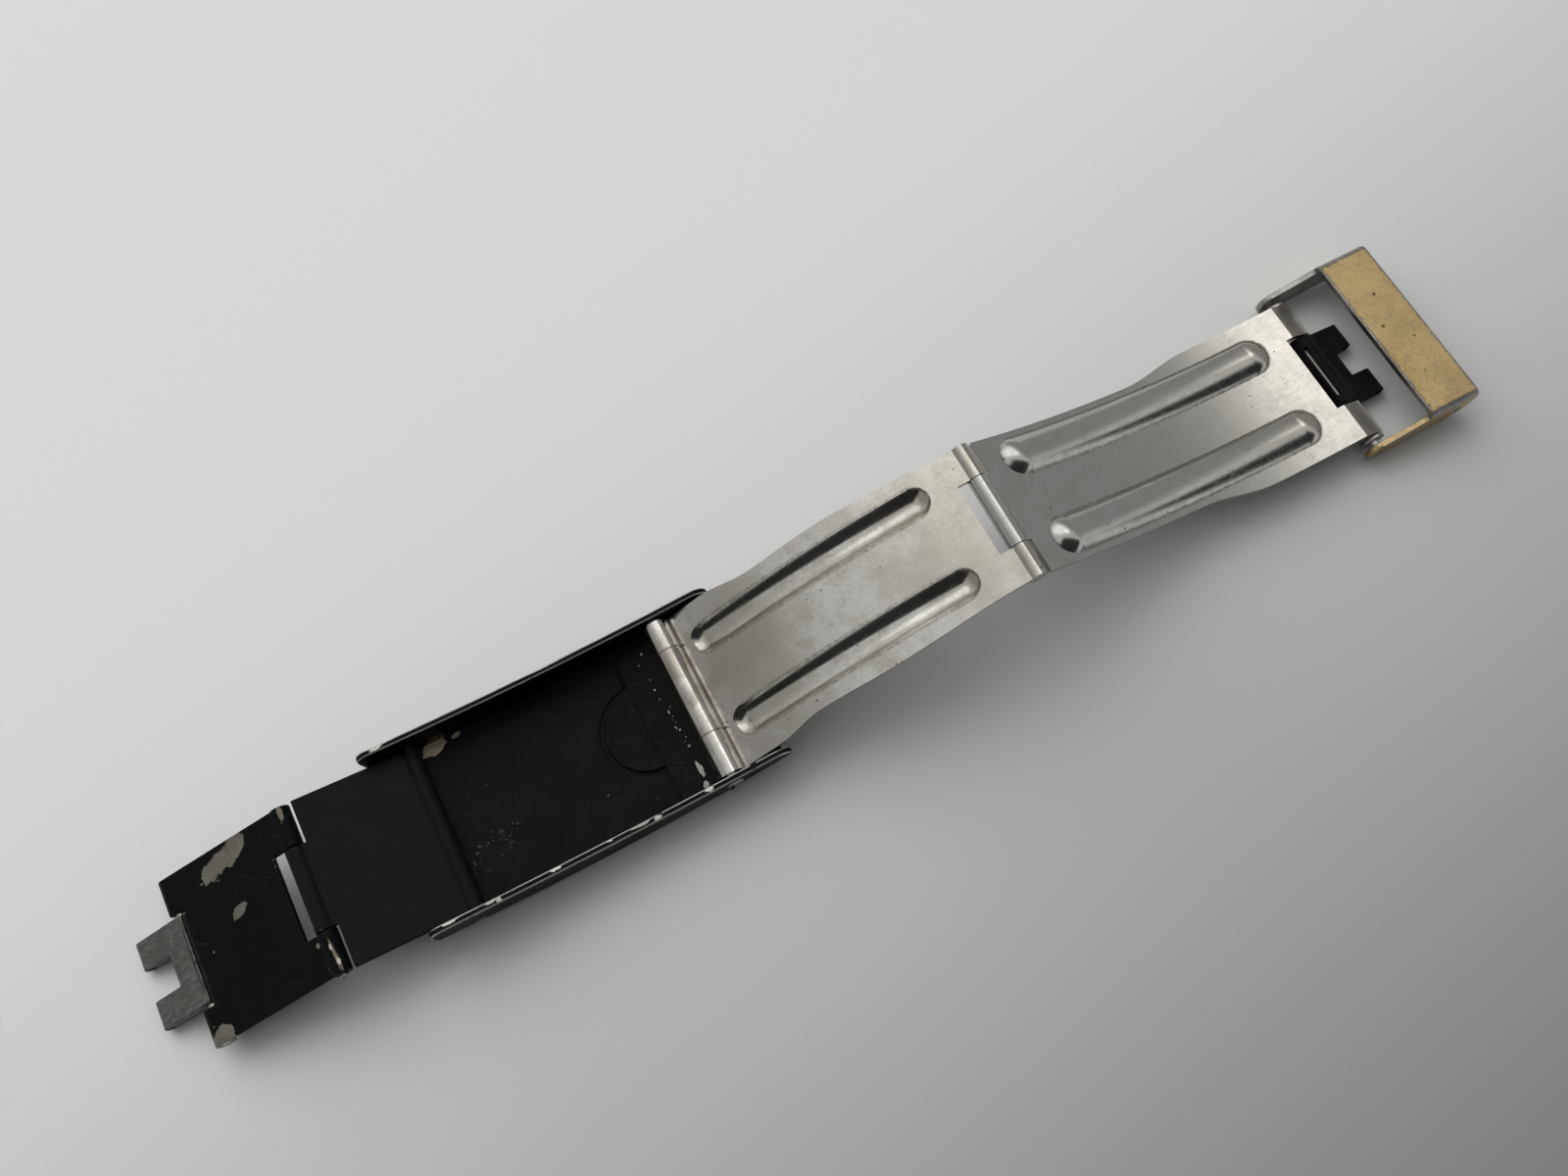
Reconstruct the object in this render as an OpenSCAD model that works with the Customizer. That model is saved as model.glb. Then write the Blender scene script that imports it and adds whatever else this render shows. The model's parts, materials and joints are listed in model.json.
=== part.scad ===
// Folding clasp for a watch bracelet, with a swing-out extension, lying fully open with its wrist side up.
// Millimetres. +X runs from the extension to the latch, +Z points to the wrist and Z 0 is the table.

/* [Cover] */
// Width over the side walls
cover_w = 18; // [17:0.1:22]
// Sheet thickness of the cover
cover_t = 0.6; // [0.5:0.05:0.7]
// Radius of the curved outer face
cover_r = 66; // [60:1:90]
// From the cover hinge to the end on the extension's side
cover_left = 29.7; // [28.6:0.1:31]
// From the cover hinge to the floor's end on the latch's side
cover_right = 5.2; // [4:0.1:5.4]
// From the cover hinge to the ear ends
ear_right = 5.9; // [5.5:0.1:6.1]
// From the cover hinge back to the lowest point of the outer face
cover_low = 11.75; // [9:0.25:14]
// Height of the wall top at the extension's end
wall_left_h = 6.7; // [6:0.1:8]
// Height of the wall top at the ear ends
wall_right_h = 4.9; // [4.7:0.1:6]
// Radius of the wall's hollow top edge
wall_r = 150; // [120:5:300]
// Radius of the bend between floor and walls
cover_bend_r = 0.9; // [0.75:0.05:1.1]
// Radius of the rounded wall corner at the extension's end
wall_corner_r = 1.2; // [0.6:0.1:1.6]
// Radius of the rounded ears
ear_corner_r = 1.7; // [1:0.1:2]

/* [Thumb emboss] */
// Radius of the half-moon pressed into the floor
moon_r = 4.1; // [3:0.1:5]
// From the cover hinge back to the half-moon's straight side
moon_back = 5.1; // [4:0.1:6]
// How far the half-moon is pressed in
moon_h = 0.2; // [0.1:0.01:0.3]
// Width of the groove round the half-moon
moon_groove_w = 0.5; // [0.3:0.05:0.7]
// Depth of the groove round the half-moon
moon_groove_d = 0.22; // [0.1:0.01:0.3]
// Width of the crease from the half-moon's ends to the walls
crease_w = 0.3; // [0.2:0.05:0.5]
// Depth of that crease
crease_d = 0.12; // [0.05:0.01:0.2]

/* [Blades] */
// Sheet thickness of both blades
blade_t = 0.5; // [0.4:0.02:0.55]
// Radius to which both blades are bent
blade_r = 75; // [70:1:100]
// Middle blade from hinge to hinge
middle_len = 33; // [31:0.25:34]
// Angle at which the middle blade rises when open
middle_rise = 15; // [10:0.5:20]
// Width of the middle blade at the cover hinge
middle_root_w = 16.2; // [14.6:0.1:16.4]
// Width of the middle blade at its waist
middle_waist_w = 14.8; // [14:0.1:16]
// Width of the middle blade halfway along
middle_belly_w = 15.2; // [14:0.1:16]
// Width of both blades at the middle hinge
hinge_w = 14.1; // [13:0.1:15]
// Lower blade from hinge to end pin
lower_len = 40.6; // [38.5:0.1:41.5]
// Width of the lower blade at the end pin
lower_end_w = 16.2; // [15:0.1:16.4]
// Outer radius of the tube at the cover hinge
tube_r = 1.25; // [1.1:0.05:1.35]
// Outer radius of the middle hinge's knuckles
middle_knuckle_r = 0.95; // [0.85:0.05:1]
// Outer radius of the knuckles at the end pin
end_knuckle_r = 1.25; // [1.1:0.05:1.3]
// Length of the middle hinge's centre knuckle
middle_centre_w = 7.2; // [6:0.1:8]
// Space for the bracelet link between the end knuckles
end_notch_w = 8.6; // [8.5:0.1:9.6]
// From the end pin back to the edge of that space
end_notch_back = 2.6; // [2.1:0.1:3]
// Length of the lower blade's sloping end, from the bend to the end pin
end_flap_len = 1.8; // [1.5:0.1:2.2]
// Height of the blade above the end pin at that bend
end_flap_h = 1.4; // [1.2:0.05:1.6]
// From the cover hinge to where the middle blade starts to narrow
middle_root_at = 5.2; // [4:0.2:6]
// From the cover hinge to the middle blade's waist
middle_waist_at = 10.5; // [9:0.5:12]
// From the cover hinge to the middle blade's belly
middle_belly_at = 18; // [16:0.5:20]
// From the end pin back to where the lower blade has its full width
flare_end_back = 12.1; // [10:0.1:14]
// Length of the lower blade's flare
flare_len = 8; // [6:0.5:10]

/* [Pressed ribs] */
// Distance of each rib from the centre line
rib_y = 4.4; // [4:0.1:4.8]
// Width of the middle blade's ribs
middle_rib_w = 3.3; // [2.4:0.1:3.4]
// Depth of the middle blade's ribs
middle_rib_h = 0.7; // [0.4:0.05:0.8]
// Width of the lower blade's ribs
lower_rib_w = 4; // [3.8:0.1:4.2]
// Height of the lower blade's ribs
lower_rib_h = 0.95; // [0.85:0.05:1]
// From the cover hinge to the middle blade's ribs
middle_rib_start = 3.6; // [3:0.1:5]
// From the ribs to the middle hinge
middle_rib_stop = 6; // [5:0.1:7]
// From the middle hinge to the lower blade's ribs
lower_rib_start = 5.4; // [4:0.1:6.5]
// From the ribs to the end pin
lower_rib_stop = 6.9; // [6:0.1:9]

/* [Extension] */
// Sheet thickness of the extension plate and the end plate
plate_t = 0.5; // [0.4:0.02:0.55]
// From the cover hinge back to the extension's pivot
pivot_back = 25.6; // [25:0.1:26.5]
// Outer radius of the barrel on the pivot
pivot_barrel_r = 0.85; // [0.75:0.05:0.9]
// Extension plate from pivot to hinge
extension_len = 12.2; // [11:0.1:13]
// Angle at which the extension plate rises when swung out
extension_rise = 12; // [8:0.5:15]
// Width of the extension plate
extension_w = 16.2; // [14:0.1:16.4]
// End plate from hinge to bracelet pin
end_len = 13.1; // [12.6:0.1:14]
// Width of the end plate
end_plate_w = 16; // [14:0.1:16.4]
// Outer radius of the knuckles between the two plates
extension_knuckle_r = 0.9; // [0.8:0.05:0.95]
// Length of the centre knuckle between the two plates
extension_centre_w = 8; // [6:0.1:9]
// Outer radius of the end plate's rolled end
rolled_end_r = 0.9; // [0.85:0.05:1]
// Space for the bracelet link in the end plate's rolled end
outer_notch_w = 9.2; // [8.6:0.1:10]
// Height of the bracelet pin above the table
outer_pin_z = 2; // [1.4:0.1:3]

/* [Latch] */
// From the end pin to the near edge of the bar
bar_near = 4.8; // [4.7:0.1:6]
// From the end pin to the far edge of the bar
bar_far = 10.5; // [9.5:0.1:11.5]
// Sheet thickness of the latch
latch_t = 0.6; // [0.5:0.05:0.7]
// Outer radius of the bends between the bar and the arms
latch_bend_r = 0.75; // [0.75:0.05:1]
// Depth of the arms at the bar
arm_h = 3.8; // [3:0.1:4]
// Radius of the arm ends round the pin
arm_end_r = 1.35; // [1.2:0.05:1.4]
// Angle at which the open latch slopes down to the table
latch_slope = 3; // [2:0.5:6]
// Height of the end pin above the table
end_pin_z = 1.45; // [1.42:0.01:2]
// From the bar's far edge back to the snap hole
snap_back = 1.7; // [1.4:0.1:2.4]
// From the arm's lower edge up to the snap hole
snap_up = 1.7; // [1.2:0.1:2]
// Length of the slanted corner under the bar's far end
arm_corner_l = 2; // [1:0.1:3]
// Height of that corner
arm_corner_h = 1.6; // [0.8:0.1:2]
// Radius of the nib on the cover that the latch snaps over
nib_r = 0.32; // [0.25:0.01:0.4]

/* [Bracelet links] */
// Width of both forks
fork_w = 8.4; // [8:0.1:8.4]
// Length of the outer fork from its pin to the finger ends
outer_fork_len = 5.3; // [4.6:0.1:5.6]
// Length of the outer fork's fingers
outer_finger_len = 3.5; // [2.6:0.1:3.7]
// How far the outer fork's flat top reaches back past its pin
outer_fork_back = 0.65; // [0.3:0.05:0.7]
// Length of the inner fork from its pin to the finger ends
inner_fork_len = 4.8; // [4.4:0.1:5]
// Length of the inner fork's fingers
inner_finger_len = 2.4; // [2:0.1:2.7]
// Radius of the inner fork's barrel round the spring bar
inner_barrel_r = 1.3; // [1.1:0.05:1.4]
// Thickness of both forks
fork_t = 1.3; // [1.1:0.05:1.6]
// Width of each finger
finger_w = 2.7; // [2.2:0.1:3]
// Radius of the hole through the fingers for the next link's pin
link_hole_r = 0.38; // [0.3:0.02:0.45]
// Length of the slot in the inner fork's barrel, over the spring bar
seam_len = 5.8; // [5:0.1:6.5]
// Width of that slot
seam_w = 0.4; // [0.3:0.05:0.5]

/* [Pins] */
// Radius of the cover hinge pin
hinge_pin_r = 0.65; // [0.5:0.05:0.75]
// Radius of the middle hinge pin
middle_pin_r = 0.45; // [0.35:0.05:0.5]
// Radius of the extension's pivot pin
pivot_pin_r = 0.38; // [0.3:0.02:0.42]
// Radius of the pin between the two plates
extension_pin_r = 0.42; // [0.3:0.02:0.46]
// Radius of the plain bracelet pin in the end plate
outer_pin_r = 0.42; // [0.35:0.01:0.45]
// Outer radius of the spring bar's tube
bar_tube_r = 0.6; // [0.55:0.01:0.65]
// Radius of the spring bar's tips
bar_tip_r = 0.38; // [0.3:0.01:0.4]

/* [Closed shape] */
// Height of the middle hinge when the clasp is closed
closed_hinge_z = 9; // [8.9:0.05:9.6]
// Height of the end pin when the clasp is closed
closed_pin_z = 5; // [4.9:0.05:5.4]

/* [Fits] */
// Gap round a pin that turns
running_fit = 0.05; // [0.03:0.01:0.08]
// Gap round a pin that is held fast
fixed_fit = 0.02; // [0.01:0.01:0.03]
// Gap between knuckles, side by side
side_gap = 0.1; // [0.08:0.01:0.2]
// Gap between a barrel and the floor below it
floor_gap = 0.08; // [0.06:0.01:0.12]
// Gap between the closed latch and the cover
latch_gap = 0.1; // [0.08:0.01:0.15]
// Gap between a plate's notch and the link's barrel
notch_gap = 0.2; // [0.18:0.01:0.3]

/* [Hidden] */

// Smoothness of small round parts and of the large bends
$fn = 48;
bend_fn = 180;
// Past every edge of the clasp, for cutting tools
reach = 60;

// Level of a plate above its hinge axis, so that two plates fold flat on each other
plate_gap = 0.26;
blade_level = (blade_t + plate_gap) / 2;
plate_level = (plate_t + plate_gap) / 2;
pivot_level = pivot_barrel_r - plate_t / 2 - 0.3;

// Slots beside the centre knuckles
middle_slot = 0.9;
extension_slot = 1;
// Gap between a plate's edge and the neighbour's knuckles
edge_gap = 0.25;
// A rib's round ends stand this much proud of its sides
rib_end_swell = 0.02;
// A blade's outline runs past both hinges by this much, in this many steps
outline_over = 2;
outline_steps = 36;

// Cover: the centre of its bend, and a height at a place along it and a distance from that centre
cover_c = [-cover_low, cover_r];
function height_at(x, rho) = cover_r - sqrt(rho * rho - (x + cover_low) * (x + cover_low));
wall_inner_w = cover_w - 2 * cover_t;

// Axes at rest, as [x, z] from the cover hinge
hinge_p = [0, height_at(0, cover_r - cover_t - floor_gap - tube_r)];
middle_p = hinge_p + middle_len * [cos(middle_rise), sin(middle_rise)];
lower_drop = asin((middle_p[1] - end_pin_z) / lower_len);
end_p = middle_p + lower_len * [cos(lower_drop), -sin(lower_drop)];
pivot_p = [-pivot_back, height_at(-pivot_back, cover_r - cover_t - floor_gap - pivot_barrel_r)];
extension_p = pivot_p + extension_len * [-cos(extension_rise), sin(extension_rise)];
end_drop = asin((extension_p[1] - outer_pin_z) / end_len);
outer_p = extension_p + end_len * [-cos(end_drop), -sin(end_drop)];

// Forks hang from their pins with their finger ends on the table
fork_clear = 0.05;
outer_hole_u = outer_fork_len - fork_t / 2;
inner_hole_u = inner_fork_len - fork_t / 2;
// The outer fork's top is level with the top of its barrel
outer_level = rolled_end_r - fork_t / 2;
outer_fork_drop = asin((outer_pin_z - fork_t / 2 - fork_clear) / norm([outer_hole_u, outer_level]))
  + atan2(outer_level, outer_hole_u);
inner_fork_drop = asin((end_pin_z - fork_t / 2 - fork_clear) / inner_hole_u);

// Closed shape: how deep the latch reaches from its pin to the bar's outer face
closed_middle_x = -middle_len * cos(asin((closed_hinge_z - hinge_p[1]) / middle_len));
closed_lower_dip = asin((closed_hinge_z - closed_pin_z) / lower_len);
closed_end_p = [closed_middle_x + lower_len * cos(closed_lower_dip), closed_pin_z];
bar_mid = (bar_near + bar_far) / 2;
to_centre = norm(closed_end_p - cover_c);
latch_d = latch_t + latch_gap + cover_r - sqrt(to_centre * to_centre - bar_mid * bar_mid);
// Direction from the pin to the bend's centre, seen by the closed latch and by the cover
latch_sees = atan2(latch_d - latch_t - latch_gap - cover_r, bar_mid);
cover_sees = atan2(cover_c[1] - closed_end_p[1], cover_c[0] - closed_end_p[0]);
latch_closed_turn = cover_sees - latch_sees;

// Widths at the latch
latch_inner_w = cover_w + 2 * latch_gap;
latch_w = latch_inner_w + 2 * latch_t;
// Snap hole in each arm, and the nib on the cover that it closes over
snap_u = bar_far - snap_back;
snap_n = latch_d - arm_h + snap_up;
snap_hole_r = nib_r + 0.12;
nib_out = latch_gap + 0.15;
nib_p = closed_end_p + [snap_u * cos(latch_closed_turn) - snap_n * sin(latch_closed_turn),
  snap_u * sin(latch_closed_turn) + snap_n * cos(latch_closed_turn)];

// The whole clasp lies centred along X
left_end = outer_p[0] - outer_hole_u * cos(outer_fork_drop) - outer_level * sin(outer_fork_drop)
  - fork_t / 2;
right_end = end_p[0] + bar_far * cos(latch_slope) + latch_d * sin(latch_slope);
shift_x = -(left_end + right_end) / 2;

// Spring bar, along Y from its middle
tube_half = lower_end_w / 2;
flange_r = 1.15;
flange_w = 0.45;
tube_bore_r = bar_tip_r + running_fit;
tip_sunk = 0.12;
tip_inside = 1.6;
tip_out = latch_w / 2 - tip_sunk;
tip_in = tube_half - tip_inside;
spring_half = tip_in - running_fit;
spring_turns = 10;
spring_wire_r = 0.09;
spring_r = tube_bore_r - spring_wire_r - running_fit;

// The centre of a bend that lies at given distances from the hinge axis and from a point p
function bend_centre(p, from_axis, from_p, side) =
  let (d = norm(p), along = (d * d + from_axis * from_axis - from_p * from_p) / (2 * d),
    off = side * sqrt(from_axis * from_axis - along * along))
  [along * p[0] - off * p[1], along * p[1] + off * p[0]] / d;
// The angle at which a centre sees a point
function seen(c, p) = atan2(p[1] - c[1], p[0] - c[0]);
// The four corners of a straight sheet's side view
function sheet(p, q, t) =
  let (d = (q - p) / norm(q - p), n = [-d[1], d[0]] * t / 2)
  [p + n, q + n, q - n, p - n];
// A width that eases from one station to the next, each station being [place, width]
function eased(a, b, k) = a + (b - a) * (1 - cos(180 * k)) / 2;
function width_at(u, st, i = 0) =
  u <= st[0][0] ? st[0][1]
  : i >= len(st) - 1 ? st[len(st) - 1][1]
  : u <= st[i + 1][0] ? eased(st[i][1], st[i + 1][1], (u - st[i][0]) / (st[i + 1][0] - st[i][0]))
  : width_at(u, st, i + 1);
function outline(st, from, to, steps) = concat(
  [for (i = [0:steps]) let (u = from + (to - from) * i / steps) [u, width_at(u, st) / 2]],
  [for (i = [steps:-1:0]) let (u = from + (to - from) * i / steps) [u, -width_at(u, st) / 2]]);
// Where a tangent from a point touches a circle round the pin
function touch(p, r, side) =
  let (a = atan2(p[1], p[0]) + side * acos(r / norm(p)))
  r * [cos(a), sin(a)];

// Side views are drawn as [x, z] and given a width along Y
module side(w) {
  rotate([90, 0, 0])
    linear_extrude(w, center = true)
      children();
}

// A round bar along Y
module round_y(p, r, half) {
  translate([p[0], 0, p[1]])
    rotate([90, 0, 0])
      cylinder(r = r, h = 2 * half, center = true);
}

// A block by its corners
module block(low, high) {
  translate(low)
    cube(high - low);
}

// Blocks on both sides of the centre line
module both_sides() {
  children();
  mirror([0, 1, 0]) children();
}

// Places for pieces that point to the latch and to the bracelet
module points_right(p, rise) {
  translate([p[0] + shift_x, 0, p[1]])
    rotate([0, -rise, 0])
      children();
}

module points_left(p, rise) {
  translate([p[0] + shift_x, 0, p[1]])
    rotate([0, rise, 0])
      mirror([1, 0, 0])
        children();
}

// A sheet bent round a centre, between two directions
module bent_sheet(c, r, t, from, to) {
  far = 2 * r;
  translate(c)
    intersection() {
      difference() {
        circle(r = r + t / 2, $fn = bend_fn);
        circle(r = r - t / 2, $fn = bend_fn);
      }
      polygon([[0, 0], far * [cos(from), sin(from)], far * [cos(to), sin(to)]]);
    }
}

// A round-ended form that follows a bend, for the outside or the hollow of a rib
module rib_form(c, path_r, from, to, y, r) {
  translate([c[0], 0, c[1]])
    rotate([90, 0, 0]) {
      rotate([0, 0, from])
        rotate_extrude(angle = to - from, $fn = bend_fn)
          translate([path_r, -y])
            circle(r = r);
      for (a = [from, to])
        rotate([0, 0, a])
          translate([path_r, 0, -y])
            sphere(r = r + rib_end_swell);
    }
}

// A blade's bent sheet, cut to its outline
module blade_sheet(c, from, to, stations, length) {
  intersection() {
    side(cover_w) bent_sheet(c, blade_r, blade_t, from, to);
    translate([0, 0, -reach])
      linear_extrude(2 * reach)
        polygon(outline(stations, -outline_over, length + outline_over, outline_steps));
  }
}

// Both ribs of a blade: the sheet is pushed towards the centre of its bend
module ribbed(c, r, w, h, from, to) {
  form_r = (w * w / 4 + h * h) / (2 * h);
  path_r = r - blade_t / 2 + form_r - h;
  difference() {
    union() {
      children();
      intersection() {
        both_sides() rib_form(c, path_r, from, to, rib_y, form_r);
        translate([c[0], 0, c[1]])
          rotate([90, 0, 0])
            cylinder(r = r + blade_t / 2, h = reach, center = true, $fn = bend_fn);
      }
    }
    both_sides() rib_form(c, path_r, from, to, rib_y, form_r - blade_t);
  }
}

// Cover: a pressed channel, bent to the wrist, with ears at the latch's end
module channel_profile() {
  depth = wall_left_h + wall_right_h;
  half = cover_w / 2;
  inner_bend_r = cover_bend_r - cover_t;
  difference() {
    union() {
      translate([cover_r - depth, -half]) square([depth - cover_bend_r, cover_w]);
      translate([cover_r - cover_bend_r, -half + cover_bend_r])
        square([cover_bend_r, cover_w - 2 * cover_bend_r]);
      for (s = [-1, 1])
        translate([cover_r - cover_bend_r, s * (half - cover_bend_r)]) circle(r = cover_bend_r);
    }
    translate([cover_r - depth - 1, cover_t - half])
      square([depth + 1 - cover_bend_r, wall_inner_w]);
    translate([cover_r - cover_bend_r - 1, cover_bend_r - half])
      square([1 + cover_bend_r - cover_t, cover_w - 2 * cover_bend_r]);
    for (s = [-1, 1])
      translate([cover_r - cover_bend_r, s * (half - cover_bend_r)]) circle(r = inner_bend_r);
  }
}

// What a rounded corner takes off the wall, on the side that s points to
module wall_corner(wall_c, x_end, r, s) {
  x = x_end - s * r;
  z = wall_c[1] - sqrt((wall_r + r) * (wall_r + r) - (x - wall_c[0]) * (x - wall_c[0]));
  up = (wall_c - [x, z]) / norm(wall_c - [x, z]);
  difference() {
    polygon([[x, z], [x, z] + 3 * r * up, [x + s * 3 * r, z + 3 * r], [x + s * 3 * r, z]]);
    translate([x, z]) circle(r = r);
  }
}

module cover_side() {
  left_top = [-cover_left, wall_left_h];
  right_top = [ear_right, wall_right_h];
  span = norm(right_top - left_top);
  along = (right_top - left_top) / span;
  wall_c = (left_top + right_top) / 2
    + [-along[1], along[0]] * sqrt(wall_r * wall_r - span * span / 4);
  difference() {
    translate([-cover_left, 0]) square([cover_left + ear_right, wall_left_h + 1]);
    translate(wall_c) circle(r = wall_r, $fn = bend_fn);
    wall_corner(wall_c, -cover_left, wall_corner_r, -1);
    wall_corner(wall_c, ear_right, ear_corner_r, 1);
  }
}

// What a shape takes of the cover's bend between two radii
module bend_layer(low, high) {
  intersection() {
    children();
    translate([cover_c[0], 0, cover_c[1]])
      rotate([90, 0, 0])
        difference() {
          cylinder(r = high, h = reach, center = true, $fn = bend_fn);
          cylinder(r = low, h = reach + 2, center = true, $fn = bend_fn);
        }
  }
}

// Half a disc or half a ring behind the half-moon's straight side
module half_ring(r, hole_r) {
  intersection() {
    translate([-moon_back, 0, -1])
      difference() {
        cylinder(r = r, h = wall_left_h);
        if (hole_r > 0) translate([0, 0, -1]) cylinder(r = hole_r, h = wall_left_h + 2);
      }
    block([-moon_back - r - 1, -reach, -2], [-moon_back, reach, wall_left_h]);
  }
}

module cover() {
  floor_r = cover_r - cover_t;
  sector = 40;
  color([0.09, 0.09, 0.1])
    translate([shift_x, 0, 0])
      difference() {
        union() {
          intersection() {
            translate([cover_c[0], 0, cover_c[1]])
              rotate([90, 0, 0])
                rotate([0, 0, -90 - sector / 2])
                  rotate_extrude(angle = sector, $fn = bend_fn)
                    channel_profile();
            side(cover_w + 1) cover_side();
          }
          bend_layer(floor_r - moon_h, floor_r + cover_t / 4)
            half_ring(moon_r, 0);
          both_sides()
            translate([nib_p[0], cover_w / 2 + nib_out - nib_r, nib_p[1]])
              sphere(r = nib_r);
        }
        bend_layer(cover_r - moon_h, cover_r + cover_t)
          half_ring(moon_r - cover_t, 0);
        bend_layer(floor_r - cover_t, floor_r + moon_groove_d)
          half_ring(moon_r + moon_groove_w, moon_r);
        bend_layer(floor_r - cover_t, floor_r + crease_d)
          both_sides()
            block([-moon_back - crease_w, moon_r + moon_groove_w / 2, -1],
              [-moon_back, wall_inner_w / 2 - cover_bend_r, wall_left_h]);
        block([cover_right, -wall_inner_w / 2, -1], [ear_right + 1, wall_inner_w / 2, reach]);
        block([nib_p[0] - 1, -wall_inner_w / 2, nib_p[1] - nib_r], [nib_p[0] + 1, wall_inner_w / 2, reach]);
        round_y(hinge_p, hinge_pin_r + fixed_fit, cover_w);
        round_y(pivot_p, pivot_pin_r + fixed_fit, cover_w);
      }
}

module cover_hinge_pin() {
  color([0.75, 0.75, 0.74])
    translate([shift_x, 0, 0])
      round_y(hinge_p, hinge_pin_r, cover_w / 2);
}

module extension_pivot_pin() {
  color([0.2, 0.2, 0.2])
    translate([shift_x, 0, 0])
      round_y(pivot_p, pivot_pin_r, cover_w / 2);
}

// Extension plate: a full-width barrel on the pivot and one centre knuckle at the hinge
module extension_plate() {
  end = [extension_len, 0];
  clear = extension_knuckle_r + edge_gap;
  color([0.13, 0.13, 0.14])
    points_left(pivot_p, extension_rise)
      difference() {
        union() {
          side(extension_w)
            polygon(sheet([0, pivot_level], [extension_len, plate_level], plate_t));
          round_y([0, 0], pivot_barrel_r, extension_w / 2);
          round_y(end, extension_knuckle_r, extension_centre_w / 2);
        }
        both_sides()
          block([extension_len - clear, extension_centre_w / 2, -reach],
            [extension_len + clear, reach, reach]);
        round_y([0, 0], pivot_pin_r + running_fit, extension_w);
        round_y(end, extension_pin_r + running_fit, extension_w);
      }
}

module extension_hinge_pin() {
  shown = 0.3;
  color([0.2, 0.2, 0.2])
    translate([shift_x, -shown / 2, 0])
      round_y(extension_p, extension_pin_r, end_plate_w / 2 + shown / 2);
}

// End plate: knuckles beside the extension's, and a rolled end for the bracelet pin
module end_plate() {
  end = [end_len, 0];
  knuckle_side = extension_centre_w / 2 + side_gap;
  notch = extension_knuckle_r + extension_slot;
  link_notch = rolled_end_r + notch_gap;
  color([0.07, 0.07, 0.08])
    points_left(extension_p, -end_drop)
      difference() {
        union() {
          side(end_plate_w)
            polygon(sheet([0, plate_level], [end_len, rolled_end_r - plate_t / 2], plate_t));
          round_y([0, 0], extension_knuckle_r, end_plate_w / 2);
          round_y(end, rolled_end_r, end_plate_w / 2);
        }
        block([-notch, -knuckle_side, -reach], [notch, knuckle_side, reach]);
        block([end_len - link_notch, -outer_notch_w / 2, -reach],
          [end_len + link_notch, outer_notch_w / 2, reach]);
        round_y([0, 0], extension_pin_r + fixed_fit, end_plate_w);
        round_y(end, outer_pin_r + fixed_fit, end_plate_w);
      }
}

// A bracelet link's fork: a barrel on the pin and two fingers with a hole for the next pin
module fork(length, finger_len, barrel_r, bore_r, back, level) {
  hole_u = length - fork_t / 2;
  slot = fork_w / 2 - finger_w;
  difference() {
    union() {
      round_y([0, 0], barrel_r, fork_w / 2);
      block([-back, -fork_w / 2, level - fork_t / 2], [hole_u, fork_w / 2, level + fork_t / 2]);
      round_y([hole_u, level], fork_t / 2, fork_w / 2);
    }
    block([length - finger_len, -slot, -reach], [reach, slot, reach]);
    round_y([0, 0], bore_r, fork_w);
    round_y([hole_u, level], link_hole_r, fork_w);
  }
}

module outer_fork_link() {
  color([0.6, 0.6, 0.58])
    points_left(outer_p, -outer_fork_drop)
      fork(outer_fork_len, outer_finger_len, rolled_end_r, outer_pin_r + running_fit,
        outer_fork_back, outer_level);
}

module outer_fork_pin() {
  color([0.55, 0.55, 0.54])
    translate([shift_x, 0, 0])
      round_y(outer_p, outer_pin_r, end_plate_w / 2);
}

// Middle blade: domed when open, hanging from the tube at the cover hinge
module middle_blade() {
  end = [middle_len, 0];
  c = bend_centre(end, blade_r + tube_r - blade_t / 2, blade_r - blade_level, -1);
  from = seen(c, [0, 0]);
  to = seen(c, end);
  per_mm = (from - to) / middle_len;
  notch = middle_knuckle_r + middle_slot;
  knuckle_side = middle_centre_w / 2 + side_gap;
  stations = [[middle_root_at, middle_root_w], [middle_waist_at, middle_waist_w],
    [middle_belly_at, middle_belly_w], [middle_len, hinge_w]];
  color([0.68, 0.66, 0.64])
    points_right(hinge_p, middle_rise)
      difference() {
        union() {
          ribbed(c, blade_r, middle_rib_w, middle_rib_h,
            to + middle_rib_stop * per_mm, from - middle_rib_start * per_mm)
            blade_sheet(c, to, from, stations, middle_len);
          round_y([0, 0], tube_r, middle_root_w / 2);
          round_y(end, middle_knuckle_r, hinge_w / 2);
        }
        block([middle_len - notch, -knuckle_side, -reach], [middle_len + notch, knuckle_side, reach]);
        round_y([0, 0], hinge_pin_r + running_fit, cover_w);
        round_y(end, middle_pin_r + fixed_fit, cover_w);
      }
}

module middle_hinge_pin() {
  color([0.7, 0.7, 0.68])
    translate([shift_x, 0, 0])
      round_y(middle_p, middle_pin_r, hinge_w / 2);
}

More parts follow.
